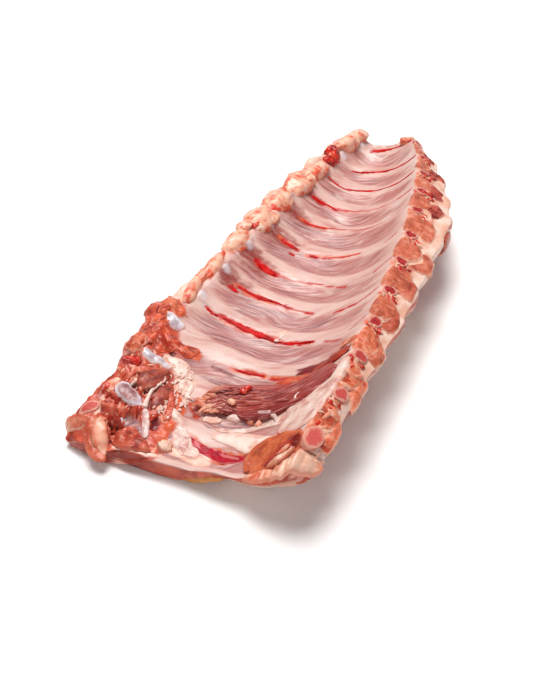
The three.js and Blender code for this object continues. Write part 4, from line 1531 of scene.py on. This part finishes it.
# A lump: a ball stretched to half-lengths along, across and up, turned about the upright, with noise
# on its radius.
def makeLump(name, key, middle, size, turn, rough, seed):
    polar = np.linspace(0, np.pi, lumpForm["steps"])[:, None]
    around = np.linspace(0, 2 * np.pi, lumpForm["around"], endpoint=False)[None, :]
    ringSize = np.sin(polar) ** lumpForm["bluntness"]
    ball = np.stack(np.broadcast_arrays(
        np.cos(polar), ringSize * np.cos(around), ringSize * np.sin(around),
    ), -1)
    clouds, grains = cloudNoise(ball, 0.8, seed), cloudNoise(ball, 0.25, seed + 5)
    radius = 1 + rough * (lumpForm["cloud"] * clouds + lumpForm["grain"] * grains)
    shape = ball * radius[..., None] * size
    along = math.cos(math.radians(turn)), math.sin(math.radians(turn))
    x = shape[..., 0] * along[0] - shape[..., 1] * along[1]
    y = shape[..., 0] * along[1] + shape[..., 1] * along[0]
    z = np.maximum(shape[..., 2] + middle[2], lumpForm["lowest"])
    points, faces, _ = closedSkin(np.stack([x + middle[0], y + middle[1], z], -1))
    ends = np.abs((points[:, :2] - middle[:2]) @ along) / size[0]
    masks = {
        "ridge": ridges(points, (7, 7, 7), seed) * 0.8,
        "marrow": smoothStep(0.5, 0.8, cloudNoise(points, 5, seed + 9) + 0.7 * ends ** 3),
        "rim": smoothStep(0.1, -0.7, (points[:, 2] - middle[2]) / size[2]),
    }
    makeLoose(name, key, points, faces, masks, points[:, :2])


# Muscles on the sawn face in each gap between two ribs, as outlines in the share of the gap and the
# share of the way from the rim to the outer edge. Each point is moved at random by about the wobble.
sawnMuscles = {
    "inner": [(0.10, 0.0), (0.36, -0.05), (0.64, -0.02), (0.86, 0.10), (0.92, 0.34), (0.80, 0.58),
              (0.60, 0.74), (0.38, 0.74), (0.20, 0.60), (0.12, 0.38), (0.06, 0.18)],
    "outer": [(0.02, 0.44), (0.12, 0.58), (0.24, 0.70), (0.42, 0.78), (0.58, 0.74), (0.68, 0.68),
              (0.64, 0.84), (0.52, 1.0), (0.30, 1.06), (0.08, 1.04), (-0.03, 0.92), (-0.01, 0.66)],
    "lobe": [(0.06, 0.46), (0.24, 0.40), (0.48, 0.40), (0.66, 0.48), (0.70, 0.62), (0.60, 0.74),
             (0.40, 0.80), (0.16, 0.80), (0.02, 0.70), (-0.02, 0.58)],
    "wobble": 0.035, "power": 6, "innerRise": 1.0, "outerRise": 0.9,
}


# One muscle of a gap. Its chance is its own, so that no two have the same outline.
def makeSawnMuscle(gap, part, key, reach, rise, lumps):
    chance = np.random.default_rng(gap * 7 + len(part) + ord(part[0]))
    outline = []
    for share, down in sawnMuscles[part]:
        shift, spread = chance.normal(0, sawnMuscles["wobble"], 2)
        rim, outside = sawnLine(gap + share + shift)
        outline.append(tuple(mix(rim, outside, (down + spread) * reach)[:2]))
    name = f"{part}_rib_muscle_{gap + 1:02d}"
    makePad(name, key, rise, 0.0, lumps, outline, seeds["sawnMuscle"] + gap, sawnMuscles["power"])


# In each gap from the loin end on: look of the inner muscle, form and look of the outer one, how far
# each reaches towards the outer edge, and how rough they are.
sawnGaps = [
    ("warmLean", "outer", "warmLean", 1.0, 1.03, 0.9),
    ("warmLean", "outer", "warmLean", 1.0, 1.06, 0.9),
    ("warmLean", "outer", "slice", 1.0, 1.04, 0.8),
    ("slice", "outer", "crescent", 1.0, 0.9, 0.5),
    ("slice", "outer", "crescent", 1.05, 0.92, 0.5),
    ("slice", "outer", "crescent", 0.92, 1.0, 0.5),
    ("slice", "outer", "slice", 1.0, 0.72, 0.5),
    ("slice", "lobe", "farCrescent", 0.7, 1.0, 0.8),
    ("slice", "lobe", "farCrescent", 0.7, 1.05, 0.8),
    ("slice", "lobe", "farCrescent", 0.76, 1.1, 1.0),
    ("slice", "lobe", "farCrescent", 0.76, 1.1, 1.0),
]
for gap, (innerKey, form, outerKey, innerReach, outerReach, lumps) in enumerate(sawnGaps):
    makeSawnMuscle(gap, form, outerKey, outerReach, sawnMuscles["outerRise"], lumps)
    makeSawnMuscle(gap, "inner", innerKey, innerReach, sawnMuscles["innerRise"], lumps)

# Pads: name, look, height of the middle and of the edge in mm, unevenness, and an outline in x and y.
pads = [
    ("rib_head_1", "cup", 3.8, 0.9, 0.02,
     [(-79, -180), (-76, -176.5), (-70, -177), (-64, -179), (-59, -182), (-56, -187), (-61, -189),
      (-66, -189), (-72, -187), (-77, -184)]),
    ("rib_head_2", "cartilage", 2.1, 0.0, 0.06,
     [(-76, -150), (-74, -146), (-66, -146), (-59, -146), (-51, -148), (-58, -152), (-66, -154),
      (-72, -153)]),
    ("rib_head_3", "cartilage", 2.1, 0.0, 0.06,
     [(-74, -114), (-74, -108), (-67, -108), (-61, -111), (-63, -117), (-69, -119)]),
    ("cut_bone_of_corner", "bone", 1.2, 0.8, 0.2,
     [(-94, -203), (-92, -197), (-86, -193), (-82, -194), (-83, -199), (-89, -204)]),
    ("corner_lip", "corner", 3.0, 0.6, 0.8,
     [(-101, -209), (-98, -206), (-92, -205), (-84, -207), (-79, -206), (-82, -211), (-90, -214),
      (-97, -214)]),
    ("corner_lobe", "lean", 5.0, 1.0, 0.8,
     [(-65, -207), (-57, -203), (-48, -206), (-40, -211), (-37, -216), (-46, -219), (-57, -219),
      (-65, -214)]),
    ("corner_knob_1", "lean", 3.2, 0.8, 1.6,
     [(-82, -193), (-77, -190), (-71, -193), (-71, -198), (-78, -200)]),
    ("corner_knob_2", "clot", 2.2, 0.8, 1.4,
     [(-87, -181), (-84, -178), (-81, -180), (-82, -184), (-86, -185)]),
    ("head_fold", "peach", 2.6, 0.8, 1.2,
     [(-86, -179), (-82, -175), (-77, -175), (-77, -181), (-79, -186), (-84, -184)]),
    ("spine_lump", "warmLean", 3.2, 0.8, 1.6,
     [(-89, -143), (-87, -136), (-80, -135), (-75, -141), (-76, -149), (-82, -152), (-87, -150)]),
    ("torn_flap", "flapLean", 1.7, 0.5, 1.1,
     [(-75, -121), (-66, -123), (-56, -125), (-47, -123), (-45, -128), (-50, -134), (-56, -133),
      (-61, -136), (-64, -143), (-71, -142), (-78, -133)]),
    # A dark pad over the torn hollow: painted shade.
    ("torn_hollow", "deepLean", 2.0, 1.2, 1.2,
     [(-74, -127), (-68, -128), (-62, -132), (-63, -136), (-67, -136), (-73, -132)]),
    ("spine_clot", "clot", 2.6, 0.6, 1.8,
     [(-86, -158), (-80, -154), (-73, -155), (-73, -161), (-81, -163)]),
    ("front_strip", "lean", 2.2, 0.8, 1.0,
     [(-49, -162), (-43, -166), (-38, -176), (-36, -188), (-40, -190), (-43, -178)]),
    ("ragged_fat_1", "fat", 1.1, 0.2, 1.0,
     [(-60, -143), (-54, -139), (-47, -141), (-42, -148), (-46, -154), (-53, -149)]),
    ("ragged_fat_2", "fat", 1.1, 0.2, 1.0,
     [(-45, -156), (-39, -152), (-34, -156), (-35, -166), (-41, -163)]),
    ("ragged_fat_3", "fat", 1.1, 0.2, 1.0,
     [(-44, -178), (-39, -177), (-30, -182), (-28, -188), (-35, -187), (-43, -183)]),
    ("ragged_fat_4", "membrane", 0.9, 0.1, 1.4,
     [(-30, -190), (-24, -190), (-16, -198), (-8, -204), (-12, -210), (-24, -206), (-30, -200)]),
    ("fat_slab", "fat", 1.2, 0.5, 0.6,
     [(-6, -191), (2, -184), (12, -181), (27, -185), (39, -191), (32, -196), (22, -200), (9, -196)]),
    ("loose_membrane", "membrane", 1.6, 0.9, 0.8,
     [(66, -132), (53, -134), (43, -144), (35, -158), (36, -170), (35, -182), (46, -191), (57, -187),
      (62, -172), (66, -150)]),
    ("torn_membrane", "membrane", 1.0, 0.4, 0.9,
     [(33, -167), (22, -170), (9, -176), (-8, -181), (-4, -184), (10, -181), (24, -176), (34, -174)]),
    ("pooled_blood", "pool", 0.5, 0.05, 0.7,
     [(-21, -194), (-14, -196), (-6, -198), (4, -199), (12, -201), (23, -202), (26, -204), (14, -206),
      (5, -206), (-3, -204), (-12, -202), (-20, -197)]),
    ("near_muscle", "amberLean", 5.0, 0.8, 0.7,
     [(27, -215), (24, -207), (26, -200), (34, -194), (45, -190), (55, -194), (60, -202), (54, -211),
      (44, -217), (36, -219)]),
    # The dark inside of the cavity: painted shade.
    ("near_cavity", "deepLean", 5.6, 4.4, 0.8,
     [(40, -216), (39, -209), (43, -203), (51, -200), (57, -202), (53, -208), (47, -213)]),
    ("cavity_fold_1", "tintedFat", 6.4, 5.2, 0.9,
     [(42, -217), (43, -213), (47, -210), (52, -207), (55, -207), (52, -211), (48, -215)]),
    ("cavity_fold_2", "peach", 6.2, 5.4, 0.9, [(44, -208), (47, -205), (51, -204), (50, -207), (47, -209)]),
    ("near_fat_edge", "tintedFat", 4.0, 0.6, 0.9,
     [(40, -222), (46, -214), (54, -209), (60, -206), (67, -205), (73, -207), (70, -215), (62, -221),
      (50, -225)]),
    ("near_peach_edge", "peach", 3.2, 0.8, 0.8,
     [(28, -221), (36, -217), (46, -216), (48, -222), (38, -225)]),
    ("fat_crumb_1", "tintedFat", 2.4, 0.6, 2.4,
     [(-35, -208), (-33, -203), (-28, -203), (-26, -208), (-31, -211)]),
    ("fat_crumb_2", "fat", 2.6, 0.8, 1.6, [(-5, -170), (-2, -165), (4, -166), (5, -170), (0, -172)]),
    ("fat_crumb_3", "fat", 5.0, 1.6, 1.6, [(33, -158), (34, -151), (40, -149), (41, -155), (37, -160)]),
    ("fat_crumb_4", "fat", 2.0, 0.8, 1.6, [(-18, -174), (-12, -171), (-7, -173), (-11, -177), (-18, -178)]),
    ("orange_crumb_1", "peach", 3.0, 1.0, 1.4, [(9, -170), (11, -167), (14, -169), (13, -172)]),
    ("orange_crumb_2", "peach", 3.0, 1.0, 1.4, [(15, -172), (17, -169), (20, -171), (18, -174)]),
    ("torn_rim_muscle", "warmLean", 1.6, 0.5, 1.3,
     [(51, -113), (50, -105), (56, -107), (63, -108), (68, -102), (74, -104), (77, -112), (76, -121),
      (71, -123), (66, -117), (60, -117), (56, -111)]),
]

# Straps: name, look, widths and thicknesses in mm from end to end, unevenness, and a path in x, y
# and height over the rack.
straps = [
    ("tongue_flap", "peach", [6, 10, 10, 6], [1.2, 1.6, 1.6, 1.3], 0.6,
     [(-73, -203, 1.5), (-75, -210, 2), (-72, -217, 2), (-64, -225, -1)]),
    ("tongue_side", "corner", [5, 7, 8, 9, 6], [2.2, 3, 3, 3, 2.2], 0.25,
     [(-80, -203, 0.5), (-81, -210, 1), (-78, -217, 1), (-71, -224, 0), (-62, -228, -2)]),
    # A sheet under the flap, painted amber as glowing light.
    ("amber_skin", "amberSkin", [3, 5, 5, 3], [4, 8, 8, 4], 0.1,
     [(-27, -216, -7), (-13, -217, -8), (0, -217, -8), (13, -216, -7)]),
    ("white_strand", "membrane", [4.5, 2.6, 2.2, 2.0, 1.6], [2.6, 2.0, 1.8, 1.6, 1.4], 0.1,
     [(-54, -188, 1.0), (-55, -180, 2.0), (-55, -172, 2.6), (-52, -164, 2.4), (-53, -160, 1.6),
      (-56, -161, 1.0)]),
    ("tendon_band", "gristle", [3.5, 5, 5, 4.5], [1.0, 0.9, 0.9, 0.8], 0.1,
     [(-53, -188, 0.8), (-50, -194, 1.0), (-47, -200, 1.0), (-44, -208, 0.6)]),
    ("muscle_bundle_1", "mauveLean", [8, 13, 12, 6], [2.5, 3.6, 3.6, 2.5], 0.14,
     [(-64, -177, 0), (-60, -168, 0.6), (-56, -160, 0.4), (-53, -153, 0)]),
    ("muscle_bundle_2", "mauveLean", [5, 9, 9, 6], [2.5, 3.5, 3, 2.5], 0.14,
     [(-50, -186, 0), (-49, -177, 0.5), (-49, -168, 0.5), (-49, -160, 0)]),
    ("orange_flap", "flapLean", [4, 11, 14, 8], [1.2, 1.8, 2, 1.6], 0.2,
     [(15, -137, 4.6), (28, -138, 5.4), (40, -140, 5.2), (54, -139, 3.2)]),
    ("dark_muscle_end", "deepLean", [4, 9, 11, 8], [2, 3, 4, 3], 0.3,
     [(38, -129, 0), (46, -126, 0.5), (53, -123, 1), (59, -118, 1)]),
    ("bluish_sinew", "gristle", [2.5, 3.6, 3, 2], [0.9, 1.1, 1, 0.8], 0.25,
     [(15, -166, 4.4), (21, -165, 3.8), (27, -168, 1.8), (31, -173, 0.4)]),
    ("far_muscle", "membrane", [5, 8, 8, 5], [2.4, 3.6, 3.6, 2.4], 0.2,
     [(-17, 189, -1.2), (-4, 190, -0.2), (9, 190, 0.0), (20, 188, -0.6)]),
    ("near_arch", "amberLean", [5, 7, 7, 4], [3, 4.5, 4, 3], 0.06,
     [(29, -216, 2), (26, -206, 2.5), (33, -197, 2.5), (46, -191, 1.5)]),
]

# Lumps: name, look, middle, half-lengths along, across and up in mm, turn in degrees, unevenness.
lumps = [
    ("knuckle_01", "warmLean", (-77, -100, 27), (12, 7.5, 7), 100, 1.4),
    ("knuckle_02", "knuckle", (-71.5, -76, 28), (17, 6, 6.5), 95, 0.9),
    ("knuckle_03", "knuckle", (-68.5, -46, 28), (18, 6.5, 7), 92, 0.9),
    ("knuckle_04", "knuckle", (-65.5, -11, 27.5), (19, 10, 9), 88, 0.9),
    ("knuckle_05", "knuckle", (-60.5, 23, 27), (17, 12, 10.5), 90, 0.9),
    ("knuckle_06", "knuckle", (-56.5, 54, 27), (16, 11.5, 10), 84, 0.9),
    ("knuckle_07", "knuckle", (-50.5, 84, 26.5), (16.5, 10.5, 9.5), 80, 0.9),
    ("knuckle_08", "knuckle", (-44.5, 113, 25), (17, 8, 8), 76, 0.9),
    ("spine_clot_far", "clot", (-40, 143, 26), (8, 7, 9), 72, 2.2),
    ("spine_clot_far_2", "clot", (-39, 135, 24), (6, 5, 7), 40, 2.0),
    ("knuckle_09", "knuckle", (-35, 170, 25), (17, 8, 8.5), 68, 1.4),
    ("knuckle_10", "knuckle", (-29, 187, 26), (10, 7, 6), 50, 1.4),
    ("knuckle_side_1", "knuckle", (-52, 31, 27), (7, 5, 5), 60, 1.0),
    ("knuckle_side_2", "peach", (-57, 66, 31), (6, 5, 4), 100, 1.0),
    ("knuckle_side_3", "knuckle", (-44, 95, 28), (6, 5, 5), 50, 1.0),
    ("knuckle_side_5", "peach", (-71, -61, 30), (8, 4.5, 4.5), 95, 1.0),
    ("knuckle_side_6", "knuckle", (-66, 6, 32), (7, 5.5, 4.5), 70, 1.0),
    ("knuckle_blood", "clot", (-60, 11, 32.5), (5.5, 4, 2.6), 30, 2.2),
    ("outer_muscle", "crescent", (85, 37, 36), (14, 4.5, 8), 92, 0.8),
    ("rim_knob", "warmLean", (17, 187, 30), (6, 4.5, 4.2), 10, 1.8),
    ("red_lump", "clot", (1, -150, 21.6), (3.4, 2.2, 1.7), 60, 2.2),
    ("red_lump_2", "clot", (-0.5, -152.5, 21), (2.6, 1.8, 1.4), 0, 2.2),
    ("orange_lump", "peach", (-4, -163, 20.5), (2.8, 2.2, 1.6), 10, 1.4),
    ("fat_bit_1", "fat", (1, -86, 14.6), (3.2, 1.1, 1.2), 75, 0.5),
    ("fat_bit_2", "fat", (-1, -91, 14.4), (1.9, 1.2, 1.0), 20, 0.5),
]

# Places on the sawn face just before each bone.
besideBones = [
    tuple(mix(*sawnLine(number - 0.17), 0.36)[:2]) for number in range(1, rack["ribCount"] - 1)
]

# Places on the loin end of the sawn face, where the saw has torn the muscle.
tornSide = [tuple(mix(*sawnLine(number), 0.45)[:2]) for number in (0.3, 0.6, 1.3, 1.6)]

# Places where the fat beside the skirt is ragged.
fatPlaces = [(-51, -146), (-42, -156), (-38, -168), (-36, -183)]

# Places beside the bones of the shoulder end, where more blood lies.
farBones = [
    tuple(mix(*sawnLine(number), share)[:2]) for number, share in ((8, 0.36), (9, 0.42), (10, 0.4))
]

# Shreds: name, look, how many round each middle, middles and reach in x and y, direction and its
# spread in degrees, and length, width and lift in mm.
shreds = [
    ("red_shreds", "lean", 34, [(-66, -180)], (17, 34), 100, 50, 11, 3.2, -0.3),
    ("peach_shreds", "peach", 26, [(-70, -176)], (13, 40), 90, 60, 8, 2.4, -0.3),
    # Dark shreds, which also stand for the hollow beside the corner lobe as painted shade.
    ("dark_shreds", "deepLean", 24, [(-62, -192)], (20, 22), 80, 50, 9, 2.6, 0),
    ("upper_shreds", "lean", 22, [(-76, -122)], (10, 24), 95, 50, 8, 2.4, -0.2),
    ("fat_shreds", "fat", 46, [(-45, -164)], (8, 26), 80, 70, 3.2, 2.0, 0.15),
    ("corner_shreds", "peach", 20, [(56, -208)], (13, 10), 30, 50, 7, 2.0, 0),
    ("torn_skirt_end", "peach", 22, [(-18, -164)], (8, 8), 25, 30, 9, 2.6, 3.4),
    ("torn_skirt_fibres", "darkLean", 26, [(-10, -160)], (9, 9), 20, 25, 10, 2.0, 4.4),
    ("skirt_fibres", "darkLean", 34, [(16, -153)], (24, 9), 8, 12, 12, 1.6, 5.0),
    ("torn_side_muscle", "peach", 3, tornSide, (6, 5), 20, 60, 8, 3.0, 0.3),
    ("torn_side_sinew", "tintedFat", 1, tornSide, (6, 5), -10, 45, 9, 1.8, 0.5),
    ("torn_side_blood", "clot", 1, tornSide, (6, 5), 10, 60, 5, 1.8, 0.4),
    ("far_bone_blood", "clot", 7, farBones, (4.5, 2.4), -20, 40, 6, 2.6, 0.7),
    ("red_bone_shreds", "clot", 6, besideBones, (5, 3), -35, 50, 4.5, 1.5, 0.5),
    ("pale_bone_shreds", "tintedFat", 6, besideBones, (6, 3.4), -35, 60, 4, 1.5, 0.5),
    ("fat_crumbs", "fat", 10, fatPlaces, (6, 6), 60, 80, 3.0, 1.9, 0.4),
]

makeBlood()
for kind, make, table in (
    ("pad", makePad, pads), ("strap", makeStrap, straps), ("lump", makeLump, lumps),
    ("shreds", makeShreds, shreds),
):
    for number, settings in enumerate(table):
        make(*settings, seeds[kind] + number)
print("loose forms made")


# Table, light and camera

studio = {
    "floor": "fafafa", "floorRoughness": 0.7, "floorHalf": 4.0,
    "world": 0.22, "white": (1, 1, 1, 1),
    # Name, place and size in metres, power and colour of each light.
    "lights": [
        ("window", (-0.3, 0.36, 1.55), 0.9, 32, (1, 0.98, 0.96)),
        ("fill", (0.5, -1.3, 0.8), 1.2, 5.6, (1, 1, 1)),
    ],
    "azimuth": 21, "elevation": 42, "lens": 46.29, "sensor": 36,
    "cameraPlace": (170.8, -532.1, 431.8),  # mm in the rack's axes
}


def makeFloor():
    mesh = bpy.data.meshes.new("table")
    half = studio["floorHalf"]
    corners = [(-half, -half, 0), (half, -half, 0), (half, half, 0), (-half, half, 0)]
    mesh.from_pydata(corners, [], [(0, 1, 2, 3)])
    floor = bpy.data.objects.new("table", mesh)
    bpy.context.scene.collection.objects.link(floor)
    material, tree = newMaterial("white table")
    white = linearColour(studio["floor"])
    shader = addNode(tree, "BsdfPrincipled", {"Base Color": white, "Roughness": studio["floorRoughness"]})
    addNode(tree, "OutputMaterial", {"Surface": shader})
    mesh.materials.append(material)


# A square light that faces the rack.
def addLight(name, place, size, power, colour):
    light = bpy.data.lights.new(name, "AREA")
    light.energy = power
    light.size = size
    light.color = colour
    lamp = bpy.data.objects.new(name, light)
    lamp.location = place
    lamp.rotation_euler = (-Vector(place)).to_track_quat("-Z", "Y").to_euler()
    bpy.context.scene.collection.objects.link(lamp)


def makeCamera():
    camera = bpy.data.cameras.new("camera")
    camera.lens = studio["lens"]
    camera.sensor_width = studio["sensor"]
    holder = bpy.data.objects.new("camera", camera)
    holder.location = toMetres(studio["cameraPlace"])
    azimuth, elevation = math.radians(studio["azimuth"]), math.radians(studio["elevation"])
    level = math.cos(elevation)
    forward = Vector((-math.sin(azimuth) * level, math.cos(azimuth) * level, -math.sin(elevation)))
    holder.rotation_mode = "QUATERNION"
    holder.rotation_quaternion = forward.to_track_quat("-Z", "Y")
    bpy.context.scene.collection.objects.link(holder)
    bpy.context.scene.camera = holder


makeFloor()
for settings in studio["lights"]:
    addLight(*settings)
world = bpy.data.worlds.new("studio")
world.use_nodes = True
background = world.node_tree.nodes["Background"]
background.inputs["Color"].default_value = studio["white"]
background.inputs["Strength"].default_value = studio["world"]
bpy.context.scene.world = world
bpy.context.scene.view_settings.view_transform = "Standard"
makeCamera()

print("scene ready")
